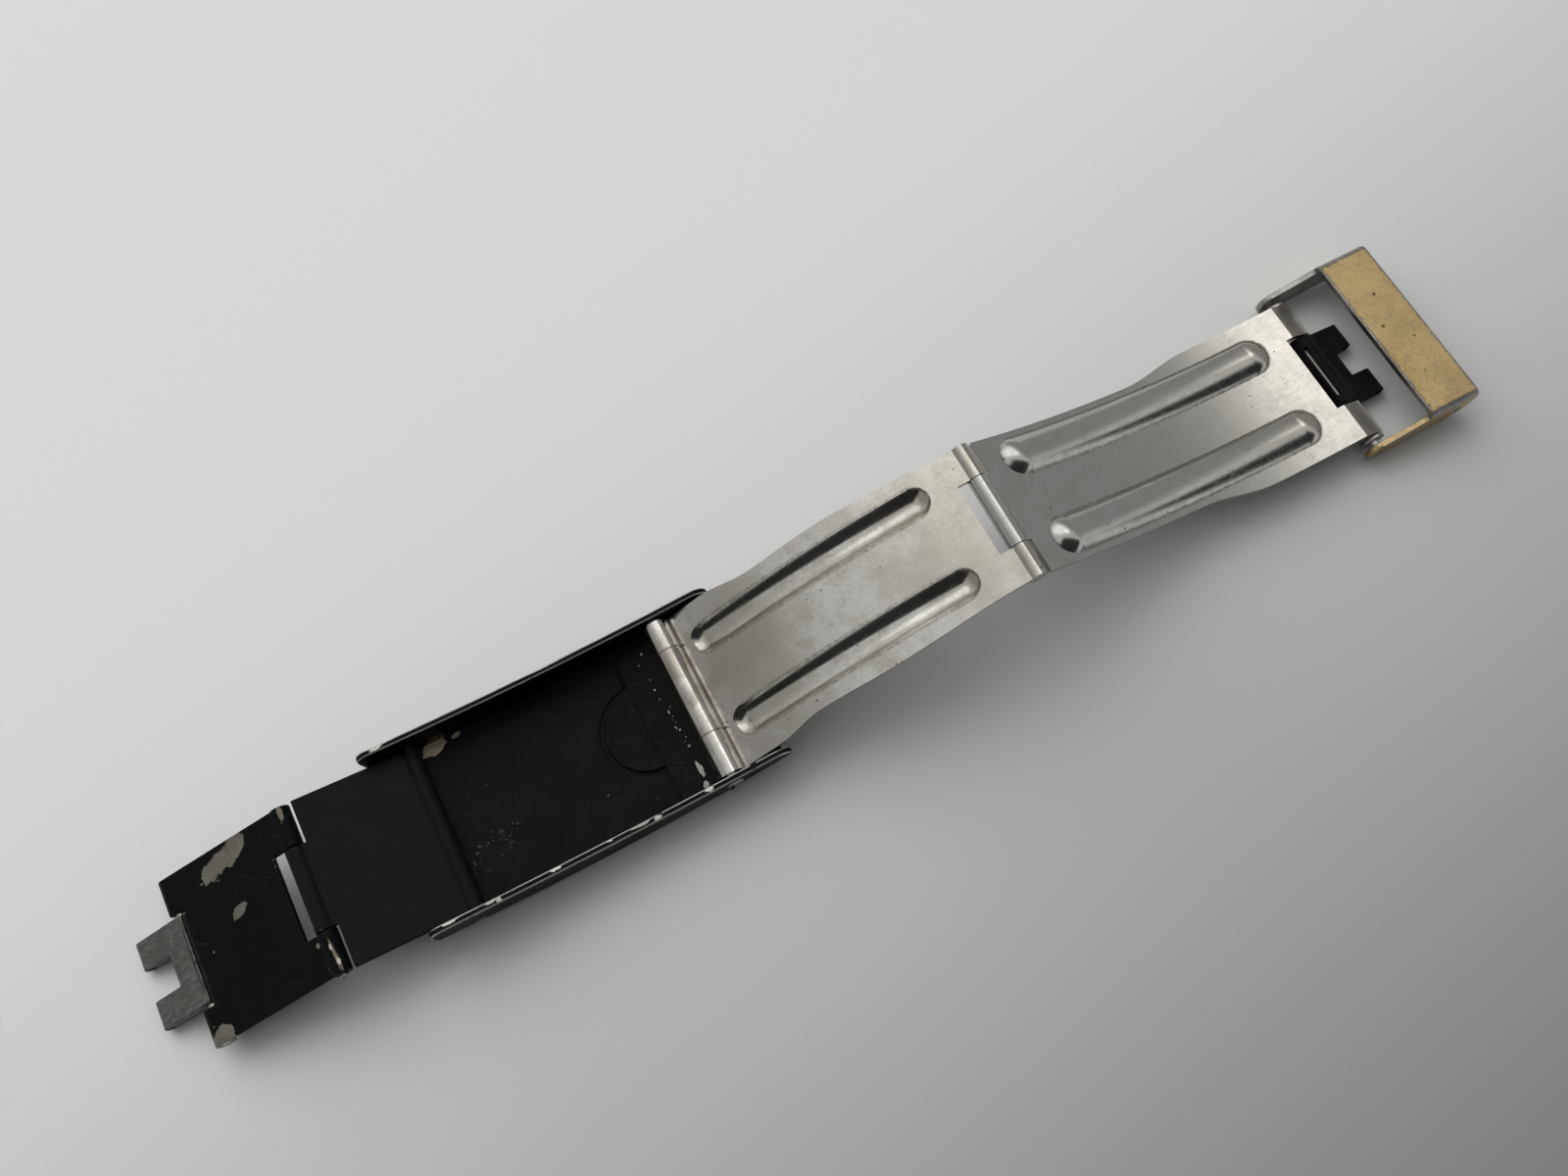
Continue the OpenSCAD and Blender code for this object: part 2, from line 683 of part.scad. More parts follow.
// Lower blade: hollow when open, with a sloping end that is rolled round the spring bar
module lower_blade() {
  end = [lower_len, 0];
  bend = [lower_len - end_flap_len, end_flap_h];
  c = bend_centre(bend, blade_r + blade_level, blade_r, 1);
  from = seen(c, [0, 0]);
  to = seen(c, bend);
  per_mm = (to - from) / norm(bend);
  bend_top = c + (blade_r - blade_t / 2) * [cos(to), sin(to)];
  bend_low = c + (blade_r + blade_t / 2) * [cos(to), sin(to)];
  root = middle_knuckle_r + edge_gap;
  flare_end = lower_len - flare_end_back;
  stations = [[flare_end - flare_len, hinge_w], [flare_end, lower_end_w]];
  color([0.72, 0.71, 0.69])
    points_right(middle_p, -lower_drop)
      difference() {
        union() {
          ribbed(c, blade_r, lower_rib_w, lower_rib_h, from + lower_rib_start * per_mm,
            to - (lower_rib_stop - end_flap_len) * per_mm)
            blade_sheet(c, from, to, stations, lower_len);
          side(lower_end_w)
            polygon([bend_top, end + touch(bend_top - end, end_knuckle_r, -1),
              end + touch(bend_low - end, end_knuckle_r - blade_t, -1), bend_low]);
          round_y([0, 0], middle_knuckle_r, middle_centre_w / 2);
          round_y(end, end_knuckle_r, lower_end_w / 2);
        }
        both_sides()
          block([-root, middle_centre_w / 2, -reach], [root, reach, reach]);
        block([lower_len - end_notch_back, -end_notch_w / 2, -reach],
          [lower_len + end_notch_back, end_notch_w / 2, reach]);
        round_y([0, 0], middle_pin_r + running_fit, cover_w);
        round_y(end, bar_tube_r + fixed_fit, cover_w);
      }
}

// Spring bar: a flanged tube, two sprung tips and the spring between them
module spring_bar_tube() {
  color([0.62, 0.61, 0.58])
    translate([end_p[0] + shift_x, 0, end_p[1]])
      difference() {
        union() {
          round_y([0, 0], bar_tube_r, tube_half + flange_w);
          both_sides()
            translate([0, tube_half + side_gap / 2 + flange_w / 2, 0])
              round_y([0, 0], flange_r, (flange_w - side_gap) / 2);
        }
        round_y([0, 0], tube_bore_r, cover_w);
      }
}

module spring_bar_tip(s) {
  color([0.66, 0.65, 0.62])
    translate([end_p[0] + shift_x, s * (tip_out + tip_in) / 2, end_p[1]])
      round_y([0, 0], bar_tip_r, (tip_out - tip_in) / 2);
}

module spring_bar_tip_far() {
  spring_bar_tip(1);
}

module spring_bar_tip_near() {
  spring_bar_tip(-1);
}

// The spring is one helix, with a ring of corners at each step
module spring_bar_spring() {
  per_turn = 8;
  sides = 6;
  steps = spring_turns * per_turn;
  half = spring_half - spring_wire_r;
  corners = [for (i = [0:steps], k = [0:sides - 1])
    let (turn = 360 * i / per_turn, a = 360 * k / sides, r = spring_r + spring_wire_r * cos(a))
    [r * cos(turn), -half + 2 * half * i / steps + spring_wire_r * sin(a), r * sin(turn)]];
  walls = [for (i = [0:steps - 1], k = [0:sides - 1], f = [0:1])
    let (a = i * sides + k, b = i * sides + (k + 1) % sides)
    f == 0 ? [a, b, b + sides] : [a, b + sides, a + sides]];
  start_cap = [for (k = [1:sides - 2]) [0, k + 1, k]];
  last = steps * sides;
  end_cap = [for (k = [1:sides - 2]) [last, last + k, last + k + 1]];
  color([0.5, 0.5, 0.5])
    translate([end_p[0] + shift_x, 0, end_p[1]])
      polyhedron(corners, concat(walls, start_cap, end_cap), convexity = 10);
}

// The slot shows the spring bar through the top of the barrel
module inner_fork_link() {
  seam_turn = 35;
  color([0.08, 0.08, 0.08])
    points_right(end_p, -inner_fork_drop)
      difference() {
        fork(inner_fork_len, inner_finger_len, inner_barrel_r, bar_tube_r + running_fit, 0, 0);
        rotate([0, -seam_turn, 0])
          block([-seam_w / 2, -seam_len / 2, 0], [seam_w / 2, seam_len / 2, reach]);
      }
}

// Latch: a bar across the clasp, bent down into two arms that swing on the spring bar's tips
module latch_bar_profile() {
  bend_y = latch_w / 2 - latch_bend_r;
  translate([-bend_y, latch_d - latch_t]) square([2 * bend_y, latch_t]);
  for (s = [0, 1])
    mirror([s, 0])
      translate([bend_y, latch_d - latch_bend_r])
        intersection() {
          difference() {
            circle(r = latch_bend_r);
            circle(r = latch_bend_r - latch_t);
          }
          square(latch_bend_r);
        }
}

module latch_arm_side() {
  top = latch_d - latch_bend_r;
  low = latch_d - arm_h;
  far_low = [bar_far - arm_corner_l, low];
  polygon([[bar_near, top], [bar_far, top], [bar_far, low + arm_corner_h], far_low,
    touch(far_low, arm_end_r, -1), [0, 0], touch([bar_near, top], arm_end_r, 1)]);
  circle(r = arm_end_r);
}

module latch() {
  color([0.75, 0.62, 0.38])
    points_right(end_p, -latch_slope)
      difference() {
        union() {
          translate([bar_near, 0, 0])
            rotate([90, 0, 90])
              linear_extrude(bar_far - bar_near)
                latch_bar_profile();
          both_sides()
            translate([0, (latch_inner_w + latch_t) / 2, 0])
              side(latch_t) latch_arm_side();
        }
        round_y([0, 0], bar_tip_r + running_fit, cover_w);
        round_y([snap_u, snap_n], snap_hole_r, cover_w);
      }
}

cover();
cover_hinge_pin();
extension_pivot_pin();
extension_plate();
extension_hinge_pin();
end_plate();
outer_fork_link();
outer_fork_pin();
middle_blade();
middle_hinge_pin();
lower_blade();
spring_bar_tube();
spring_bar_spring();
spring_bar_tip_far();
spring_bar_tip_near();
inner_fork_link();
latch();
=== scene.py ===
"""Looks of a folding watch clasp that lies open with its wrist side up.

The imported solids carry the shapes. This script breaks their sharp edges, gives
every piece a worn metal or coated finish, adds the crowned pin ends, and sets the
clasp on pale paper under soft light. Lengths are in metres unless a name ends in
_mm, and those of the finishes are in mm.
"""

import json
import logging
import math
from dataclasses import dataclass, field
from enum import Enum

import bmesh
import bpy
from mathutils import Matrix, Vector


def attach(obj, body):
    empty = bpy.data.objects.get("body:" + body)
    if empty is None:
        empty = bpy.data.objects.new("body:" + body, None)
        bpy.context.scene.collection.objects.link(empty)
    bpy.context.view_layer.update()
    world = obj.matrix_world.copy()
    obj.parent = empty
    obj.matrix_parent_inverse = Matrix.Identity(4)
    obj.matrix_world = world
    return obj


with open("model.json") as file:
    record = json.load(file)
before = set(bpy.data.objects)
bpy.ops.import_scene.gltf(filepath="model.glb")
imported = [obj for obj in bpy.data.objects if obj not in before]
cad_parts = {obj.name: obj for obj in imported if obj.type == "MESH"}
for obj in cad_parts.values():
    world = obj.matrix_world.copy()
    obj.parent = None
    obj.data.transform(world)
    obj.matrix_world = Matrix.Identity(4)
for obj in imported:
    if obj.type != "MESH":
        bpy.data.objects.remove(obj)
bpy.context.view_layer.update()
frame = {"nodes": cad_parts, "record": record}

MM = 0.001
JOIN_MM = 0.01
FLAT_DEG = 0.6
EDGE_DEG = 32.0
RELIEF_MM = 0.02
# A crowned end's outline, as shares of its radius and of its height
CROWN = ((1.0, 0.4), (0.8, 0.85), (0.4, 1.0), (0.0, 1.0))
log = logging.getLogger("clasp")

Colour = tuple[float, float, float]
Point = tuple[float, float, float]
Pair = tuple[float, float]
Socket = bpy.types.NodeSocket


def darker(colour: Colour, share: float) -> Colour:
    """A colour at a share of its brightness."""
    return tuple(share * part for part in colour)


def show(name: str, data: bpy.types.ID) -> bpy.types.Object:
    """Puts a new object in the scene.

    Args:
        name: The object's name.
        data: Its mesh, lamp or camera.

    Returns:
        The object.
    """
    made = bpy.data.objects.new(name, data)
    bpy.context.scene.collection.objects.link(made)
    return made


class Run(Enum):
    """The way a grain runs, as its fineness along X, Y and Z in lines per mm."""

    ALONG_X = (0.15, 9.0, 9.0)
    BRUSHED = (0.3, 4.5, 4.5)
    SLANTED = (5.0, 2.0, 5.0)
    EVEN = (5.0, 5.0, 5.0)


class Graph:
    """A node tree being filled, with short calls for the nodes used here."""

    def __init__(self, tree: bpy.types.NodeTree) -> None:
        """Keeps the tree that the calls add to."""
        self.tree = tree

    def node(self, kind: str, **settings: object) -> bpy.types.Node:
        """Adds a node.

        Args:
            kind: The node's type name.
            settings: Attributes to set on it.

        Returns:
            The new node.
        """
        made = self.tree.nodes.new(kind)
        for key, value in settings.items():
            setattr(made, key, value)
        return made

    def feed(self, socket: Socket, value: object) -> None:
        """Links value to a socket, or sets it there when it is a plain value.

        Args:
            socket: The input to feed.
            value: An output socket, a number or a tuple.
        """
        if isinstance(value, bpy.types.NodeSocket):
            self.tree.links.new(value, socket)
        else:
            socket.default_value = value

    def math(self, kind: str, *values: object) -> Socket:
        """Adds a Math node.

        Args:
            kind: The operation.
            values: What goes into its inputs.

        Returns:
            The result's socket.
        """
        made = self.node("ShaderNodeMath", operation=kind)
        for socket, value in zip(made.inputs, values):
            self.feed(socket, value)
        return made.outputs[0]

    def vector(self, kind: str, *values: object) -> Socket:
        """Adds a Vector Math node.

        Args:
            kind: The operation.
            values: What goes into its inputs.

        Returns:
            The result's socket: a number for LENGTH and DOT_PRODUCT.
        """
        made = self.node("ShaderNodeVectorMath", operation=kind)
        for socket, value in zip(made.inputs, values):
            self.feed(socket, value)
        number = kind in ("LENGTH", "DOT_PRODUCT")
        return made.outputs["Value" if number else "Vector"]

    def times(self, a: object, b: object) -> Socket:
        """Multiplies two numbers."""
        return self.math("MULTIPLY", a, b)

    def minus(self, a: object, b: object) -> Socket:
        """Takes b from a."""
        return self.math("SUBTRACT", a, b)

    def most(self, a: object, b: object) -> Socket:
        """The larger of two numbers."""
        return self.math("MAXIMUM", a, b)

    def added(self, a: object, share: object, b: object) -> Socket:
        """Adds a share of a to b."""
        return self.math("MULTIPLY_ADD", a, share, b)

    def dot(self, place: object, way: object) -> Socket:
        """How far a place lies along a way."""
        return self.vector("DOT_PRODUCT", place, way)

    def flat(self, *values: object) -> Socket:
        """Joins numbers into a vector.

        Args:
            values: Up to three numbers.

        Returns:
            The vector's socket.
        """
        made = self.node("ShaderNodeCombineXYZ")
        for socket, value in zip(made.inputs, values):
            self.feed(socket, value)
        return made.outputs[0]

    def parts(self) -> bpy.types.NodeOutputs:
        """Splits the place on the piece into its numbers.

        Returns:
            The sockets of its X, Y and Z in mm.
        """
        made = self.node("ShaderNodeSeparateXYZ")
        self.feed(made.inputs[0], self.place())
        return made.outputs

    def step(self, value: object, low: object, high: object) -> Socket:
        """A smooth step that rises from 0 at low to 1 at high, or falls if high is below low.

        Args:
            value: The number that is judged.
            low: Where the step is 0.
            high: Where the step is 1.

        Returns:
            The step's socket.
        """
        made = self.node("ShaderNodeMapRange", interpolation_type="SMOOTHSTEP")
        numbers = (value, low, high, 0.0, 1.0)
        for name, number in zip(("Value", "From Min", "From Max", "To Min", "To Max"), numbers):
            self.feed(made.inputs[name], number)
        return made.outputs["Result"]

    def spread(self, value: object, low: float, high: float) -> Socket:
        """Turns a mask into a number that is low where it is 0 and high where it is 1."""
        return self.added(value, high - low, low)

    def mix(self, mask: object, a: object, b: object) -> Socket:
        """Mixes two colours.

        Args:
            mask: 0 for a and 1 for b.
            a: The first colour.
            b: The second colour.

        Returns:
            The colour's socket.
        """
        made = self.node("ShaderNodeMix", data_type="RGBA")
        for socket, value in zip((made.inputs[0], made.inputs[6], made.inputs[7]), (mask, a, b)):
            if isinstance(value, tuple) and len(value) == 3:
                value = (*value, 1.0)
            self.feed(socket, value)
        return made.outputs[2]

    def place(self) -> Socket:
        """The place on the piece in mm, which stays with the piece when it moves."""
        coordinates = self.node("ShaderNodeTexCoord").outputs["Object"]
        return self.vector("MULTIPLY", coordinates, (1 / MM,) * 3)

    def noise(self, place: object, scale: object, detail: float = 2.0,
              roughness: float = 0.5) -> Socket:
        """Adds a Noise Texture.

        Args:
            place: Where it is read.
            scale: Its fineness.
            detail: How many finer layers it has.
            roughness: How strong these are.

        Returns:
            The noise's socket, about 0.5 on average.
        """
        made = self.node("ShaderNodeTexNoise")
        values = {"Vector": place, "Scale": scale, "Detail": detail, "Roughness": roughness}
        for name, value in values.items():
            self.feed(made.inputs[name], value)
        return made.outputs["Fac"]

    def ripple(self, place: object, scale: object, detail: float, roughness: float) -> Socket:
        """Noise that swings about 0."""
        return self.minus(self.noise(place, scale, detail, roughness), 0.5)

    def use(self, group: bpy.types.NodeTree, **inputs: object) -> Socket:
        """Places a node group.

        Args:
            group: The group.
            inputs: What goes into its inputs, by name, with _ for a space.

        Returns:
            The group's first output.
        """
        made = self.node("ShaderNodeGroup", node_tree=group)
        for name, value in inputs.items():
            self.feed(made.inputs[name.replace("_", " ").capitalize()], value)
        return made.outputs[0]


class Effects:
    """The shared surface effects, each a node group that is built once."""

    def __init__(self) -> None:
        """Builds every group."""
        for build in (self._grain, self._hairlines, self._chips, self._spot, self._mottle,
                      self._specks, self._rib_outline):
            build()

    @staticmethod
    def _start(name: str, output: str,
               **inputs: object) -> tuple[Graph, bpy.types.NodeOutputs, Socket]:
        """Makes an empty group.

        Args:
            name: The group's name.
            output: Its output's name.
            inputs: Its inputs' names and starting values.

        Returns:
            Its graph, the sockets of its inputs and the socket of its output.
        """
        tree = bpy.data.node_groups.new(name, "ShaderNodeTree")
        for key, value in inputs.items():
            kind = "NodeSocketVector" if isinstance(value, tuple) else "NodeSocketFloat"
            made = tree.interface.new_socket(key.replace("_", " ").capitalize(),
                                             in_out="INPUT", socket_type=kind)
            made.default_value = value
        tree.interface.new_socket(output, in_out="OUTPUT", socket_type="NodeSocketFloat")
        graph = Graph(tree)
        given = graph.node("NodeGroupInput").outputs
        return graph, given, graph.node("NodeGroupOutput").inputs[0]

    def _grain(self) -> None:
        """Builds fine parallel lines, as a brush or a polishing wheel leaves them."""
        g, given, out = self._start("fine_grain", "Grain", fineness=(5.0, 5.0, 5.0), seed=0.0)
        stretched = g.vector("MULTIPLY", g.place(), given["Fineness"])
        moved = g.vector("ADD", stretched, given["Seed"])
        g.feed(out, g.noise(moved, scale=1.0, detail=3.0, roughness=0.65))
        self.grain = g.tree

    def _hairlines(self) -> None:
        """Builds thin broken scratches that run along a direction in the XY plane."""
        g, given, out = self._start("hairline_scratches", "Mask", direction=(1.0, 0.0, 0.0),
                                    across=(0.0, 1.0, 0.0), density=0.5, seed=0.0)
        place = g.place()
        along = g.times(g.dot(place, given["Direction"]), 0.2)
        across = g.times(g.dot(place, given["Across"]), 3.2)
        stretched = g.flat(along, across, given["Seed"])
        off = g.math("ABSOLUTE", g.ripple(stretched, scale=1.0, detail=1.5, roughness=0.6))
        thin = g.step(off, low=0.009, high=0.002)
        gaps = g.noise(g.vector("ADD", place, given["Seed"]), scale=0.8)
        kept = g.step(g.added(given["Density"], 0.3, gaps), low=0.62, high=0.7)
        g.feed(out, g.times(thin, kept))
        self.hairlines = g.tree

    def _chips(self) -> None:
        """Builds ragged places where a coating has worn through."""
        g, given, out = self._start("worn_places", "Mask", amount=0.2, size=1.0, seed=0.0)
        place = g.vector("ADD", g.place(), given["Seed"])
        fineness = g.math("DIVIDE", 1.0, given["Size"])
        broad = g.noise(place, fineness, detail=4.0, roughness=0.62)
        limit = g.added(given["Amount"], -0.72, 0.86)
        g.feed(out, g.step(g.minus(broad, limit), low=0.0, high=0.018))
        self.chips = g.tree

    def _spot(self) -> None:
        """Builds one uneven spot at a chosen place, as long and as wide as its two vectors say."""
        g, given, out = self._start("uneven_spot", "Mask", centre=(0.0, 0.0, 0.0),
                                    along=(1.0, 0.0, 0.0), across=(0.0, 1.0, 0.0),
                                    depth=(0.0, 0.0, 1.0), ragged=0.5, soft=0.03, seed=0.0)
        place = g.place()
        off = g.vector("SUBTRACT", place, given["Centre"])
        scaled = g.flat(*(g.dot(off, given[name]) for name in ("Along", "Across", "Depth")))
        far = g.vector("LENGTH", scaled)
        moved = g.vector("ADD", scaled, given["Seed"])
        broad = g.ripple(moved, scale=1.1, detail=3.0, roughness=0.55)
        fine = g.ripple(place, scale=4.0, detail=3.0, roughness=0.6)
        rough = g.added(fine, 0.3, g.times(broad, 2.6))
        edge = g.added(rough, given["Ragged"], far)
        soft = given["Soft"]
        g.feed(out, g.step(edge, low=g.math("ADD", 1.0, soft), high=g.minus(1.0, soft)))
        self.spot = g.tree

    def _rib_outline(self) -> None:
        """Builds the distance in mm, seen from above, to the outline of two pressed ribs."""
        g, given, out = self._start("rib_outline", "Distance", middle=0.0, half_length=10.0,
                                    apart=4.4, half_width=1.6)
        x, y, _ = g.parts()
        along = g.math("ABSOLUTE", g.minus(x, given["Middle"]))
        beyond = g.most(g.minus(along, given["Half length"]), 0.0)
        aside = g.minus(g.math("ABSOLUTE", y), given["Apart"])
        far = g.vector("LENGTH", g.flat(beyond, aside))
        g.feed(out, g.minus(far, given["Half width"]))
        self.rib_outline = g.tree

    def _mottle(self) -> None:
        """Builds cloudy uneven staining."""
        g, given, out = self._start("cloudy_stain", "Mask", size=3.0, seed=0.0)
        place = g.vector("ADD", g.place(), given["Seed"])
        fineness = g.math("DIVIDE", 1.0, given["Size"])
        broad = g.noise(place, fineness, detail=5.0, roughness=0.6)
        fine = g.noise(place, scale=2.6, detail=4.0, roughness=0.7)
        both = g.added(fine, 0.35, g.times(broad, 0.65))
        g.feed(out, g.step(both, low=0.42, high=0.6))
        self.mottle = g.tree

    def _specks(self) -> None:
        """Builds sparse tiny dots, as of dust, rust or pits."""
        g, given, out = self._start("sparse_specks", "Mask", spacing=0.6, share=0.1,
                                    size=0.1, seed=0.0)
        cells = g.node("ShaderNodeTexVoronoi")
        g.feed(cells.inputs["Vector"], g.vector("ADD", g.place(), given["Seed"]))
        g.feed(cells.inputs["Scale"], g.math("DIVIDE", 1.0, given["Spacing"]))
        drawn = g.node("ShaderNodeSeparateColor")
        g.feed(drawn.inputs[0], cells.outputs["Color"])
        reach = g.times(given["Size"], drawn.outputs[1])
        inside = g.math("LESS_THAN", cells.outputs["Distance"],
                        g.math("DIVIDE", reach, given["Spacing"]))
        chosen = g.math("LESS_THAN", drawn.outputs[0], given["Share"])
        g.feed(out, g.times(inside, chosen))
        self.specks = g.tree


@dataclass(frozen=True)
class Spot:
    """One uneven spot on a surface, in mm, with its long side turned from +X."""

    centre: Point
    length: float
    width: float
    turn_deg: float = 0.0
    depth: float = 1.2
    ragged: float = 0.35
    seed: float = 0.0
    tint: Colour | None = None
    soft: float = 0.03
    flecked: bool = False

    def mask(self, g: Graph, effects: Effects) -> Socket:
        """Adds the spot to a material.

        Args:
            g: The material's graph.
            effects: The shared effects.

        Returns:
            The spot's mask.
        """
        turn = math.radians(self.turn_deg)
        c, s = math.cos(turn), math.sin(turn)
        here = g.use(effects.spot, centre=self.centre, ragged=self.ragged, seed=self.seed,
                     soft=self.soft,
                     along=(2 * c / self.length, 2 * s / self.length, 0.0),
                     across=(-2 * s / self.width, 2 * c / self.width, 0.0),
                     depth=(0.0, 0.0, 1 / self.depth))
        if self.flecked:
            flecks = g.use(effects.specks, spacing=0.22, share=0.4, size=0.13, seed=self.seed)
            here = g.times(here, flecks)
        return here


@dataclass(frozen=True)
class Scratches:
    """Fine scratches that run along a direction in the XY plane."""

    along: Pair
    across: Pair
    density: float
    seed: float

    def mask(self, g: Graph, effects: Effects) -> Socket:
        """Adds the scratches to a material."""
        return g.use(effects.hairlines, direction=(*self.along, 0.0), across=(*self.across, 0.0),
                     density=self.density, seed=self.seed)


@dataclass(frozen=True)
class Ribs:
    """Where two pressed ribs lie, in mm, seen from above."""

    middle: float
    half_length: float
    apart: float
    half_width: float


@dataclass(frozen=True)
class Line:
    """A dark line across a piece at one Y, between two X, in mm."""

    x: float
    half_x: float
    y: float
    width: float = 0.12


@dataclass(frozen=True)
class Coating:
    """Black coating over steel, worn through in places of worn_size mm.

    These are a share of it, worn, and lie further from the middle than worn_beyond mm.
    """

    name: str
    colour: Colour = (0.0028, 0.003, 0.003)
    dulled: Colour = (0.0062, 0.0064, 0.006)
    bare: Colour = (0.33, 0.315, 0.28)
    scratch: Colour = (0.06, 0.058, 0.055)
    dust: Colour = (0.22, 0.215, 0.2)
    roughness: float = 0.42
    gloss: float = 0.075
    worn: float = 0.05
    worn_size: float = 0.9
    scratched: float = 0.2
    dusty: float = 0.012
    worn_beyond: float = 0.0
    spots: tuple[Spot, ...] = ()

    def wear(self, g: Graph, effects: Effects, cloud: Socket,
             fine: Socket) -> tuple[Socket, Socket]:
        """Adds the places where the coating is gone.

        Args:
            g: The material's graph.
            effects: The shared effects.
            cloud: The broad stain that shades the bare metal.
            fine: The fine grain that shades it.

        Returns:
            The mask of the worn places and the colour of the metal in them.
        """
        gone = g.use(effects.chips, amount=self.worn, size=self.worn_size, seed=7.0)
        if self.worn_beyond:
            aside = g.math("ABSOLUTE", g.dot(g.place(), (0.0, 1.0, 0.0)))
            gone = g.times(gone, g.math("GREATER_THAN", aside, self.worn_beyond))
        metal = g.mix(cloud, self.bare, darker(self.bare, 0.72))
        metal = g.mix(g.times(fine, 0.5), metal, darker(self.bare, 0.5))
        for spot in self.spots:
            here = spot.mask(g, effects)
            gone = g.most(gone, here)
            if spot.tint:
                tint = g.mix(cloud, spot.tint, darker(spot.tint, 0.7))
                metal = g.mix(here, metal, tint)
        return gone, metal

    def material(self, effects: Effects) -> bpy.types.Material:
        """Builds the material.

        Args:
            effects: The shared effects.

        Returns:
            The new material.
        """
        made, g, shader = new_material(self.name)
        shader.inputs["Specular IOR Level"].default_value = self.gloss
        cloud = g.use(effects.mottle, size=4.0, seed=11.0)
        fine = g.use(effects.grain, fineness=Run.EVEN.value, seed=3.0)
        lines = Scratches((0.8, -0.6), (0.6, 0.8), self.scratched, 5.0).mask(g, effects)
        gone, metal = self.wear(g, effects, cloud, fine)
        dust = g.use(effects.specks, spacing=0.8, share=self.dusty, size=0.1, seed=2.0)
        black = g.mix(cloud, self.colour, self.dulled)
        black = g.mix(g.times(lines, 0.3), black, self.scratch)
        colour = g.mix(gone, black, metal)
        g.feed(shader.inputs["Base Color"], g.mix(dust, colour, self.dust))
        g.feed(shader.inputs["Metallic"], g.times(gone, g.minus(1.0, dust)))
        shine = g.spread(cloud, self.roughness - 0.05, self.roughness + 0.1)
        g.feed(shader.inputs["Roughness"], g.added(fine, 0.06, shine))
        relief = g.added(gone, -0.8, g.times(fine, 0.25))
        add_bump(g, shader, g.added(lines, -0.3, relief), 0.35)
        return made


@dataclass(frozen=True)
class Steel:
    """Bare steel with grain, stains, pits and scratches."""

    name: str
    colour: Colour = (0.6, 0.585, 0.56)
    stained: Colour = (0.42, 0.4, 0.37)
    # The colour of the dark turned lines and of the painted shade round the ribs
    dark_lines_and_shade: Colour = (0.1, 0.085, 0.07)
    pit: Colour = (0.09, 0.06, 0.045)
    roughness: float = 0.24
    grain: Run = Run.ALONG_X
    grain_depth: float = 0.3
    grain_tone: float = 0.2
    stain: float = 0.4
    stain_size: float = 3.0
    scratched: float = 0.3
    pitted: float = 0.03
    spots: tuple[Spot, ...] = ()
    ribs: Ribs | None = None
    lines: tuple[Line, ...] = ()

    def paint_lines_and_shade(self, g: Graph, effects: Effects) -> Socket | float:
        """Adds painted shade in uneven clumps round the ribs' outlines, and the dark turned lines.

        Args:
            g: The material's graph.
            effects: The shared effects.

        Returns:
            The dirt's mask, or 0 where there is neither rib nor line.
        """
        dark_lines_and_shade: Socket | float = 0.0
        # Painted shade: the colour darkens in a band round each rib's outline, in uneven clumps
        if self.ribs:
            far = g.use(effects.rib_outline, middle=self.ribs.middle, apart=self.ribs.apart,
                        half_length=self.ribs.half_length, half_width=self.ribs.half_width)
            near = g.step(g.math("ABSOLUTE", far), low=0.2, high=0.03)
            clumps = g.step(g.noise(g.place(), 2.2, 4.0, 0.7), low=0.4, high=0.62)
            dark_lines_and_shade = g.times(g.times(near, g.spread(clumps, 0.3, 0.95)), 0.6)
        for line in self.lines:
            x, y, _ = g.parts()
            on = g.math("COMPARE", x, line.x, line.half_x)
            off = g.math("ABSOLUTE", g.minus(y, line.y))
            thin = g.step(off, low=line.width, high=0.3 * line.width)
            dark_lines_and_shade = g.most(dark_lines_and_shade, g.times(g.times(on, thin), 0.7))
        return dark_lines_and_shade

    def material(self, effects: Effects) -> bpy.types.Material:
        """Builds the material.

        Args:
            effects: The shared effects.

        Returns:
            The new material.
        """
        made, g, shader = new_material(self.name)
        shader.inputs["Metallic"].default_value = 1.0
        cloud = g.use(effects.mottle, size=self.stain_size, seed=4.0)
        patches = g.use(effects.mottle, size=0.4 * self.stain_size, seed=31.0)
        lines = g.use(effects.grain, fineness=self.grain.value, seed=6.0)
        long = Scratches((0.94, 0.34), (-0.34, 0.94), self.scratched, 9.0)
        short = Scratches((0.5, -0.87), (0.87, 0.5), self.scratched - 0.1, 14.0)
        cuts = g.most(long.mask(g, effects), short.mask(g, effects))
        pits = g.use(effects.specks, spacing=0.5, share=self.pitted, size=0.12, seed=8.0)
        stain = g.times(g.added(patches, 0.3, g.times(cloud, 0.7)), self.stain)
        dark_lines_and_shade = self.paint_lines_and_shade(g, effects)
        colour = g.mix(stain, self.colour, self.stained)
        for spot in self.spots:
            here = g.times(spot.mask(g, effects), 0.75)
            colour = g.mix(here, colour, spot.tint or self.stained)
        dark = darker(self.colour, 0.5)
        tone = g.times(g.step(lines, low=0.32, high=0.68), self.grain_tone)
        colour = g.mix(tone, colour, dark)
        colour = g.mix(g.times(cuts, 0.25), colour, dark)
        # Darkens the turned lines and paints shade round the ribs
        colour = g.mix(dark_lines_and_shade, colour, self.dark_lines_and_shade)
        colour = g.mix(g.times(pits, 0.8), colour, self.pit)
        g.feed(shader.inputs["Base Color"], colour)
        shine = g.added(lines, 0.14, self.roughness - 0.07)
        shine = g.added(stain, 0.16, shine)
        shine = g.added(dark_lines_and_shade, 0.2, shine)
        g.feed(shader.inputs["Roughness"], g.added(cuts, 0.12, shine))
        relief = g.added(lines, self.grain_depth, g.times(cuts, -0.2))
        add_bump(g, shader, g.minus(relief, pits), 0.3)
        return made


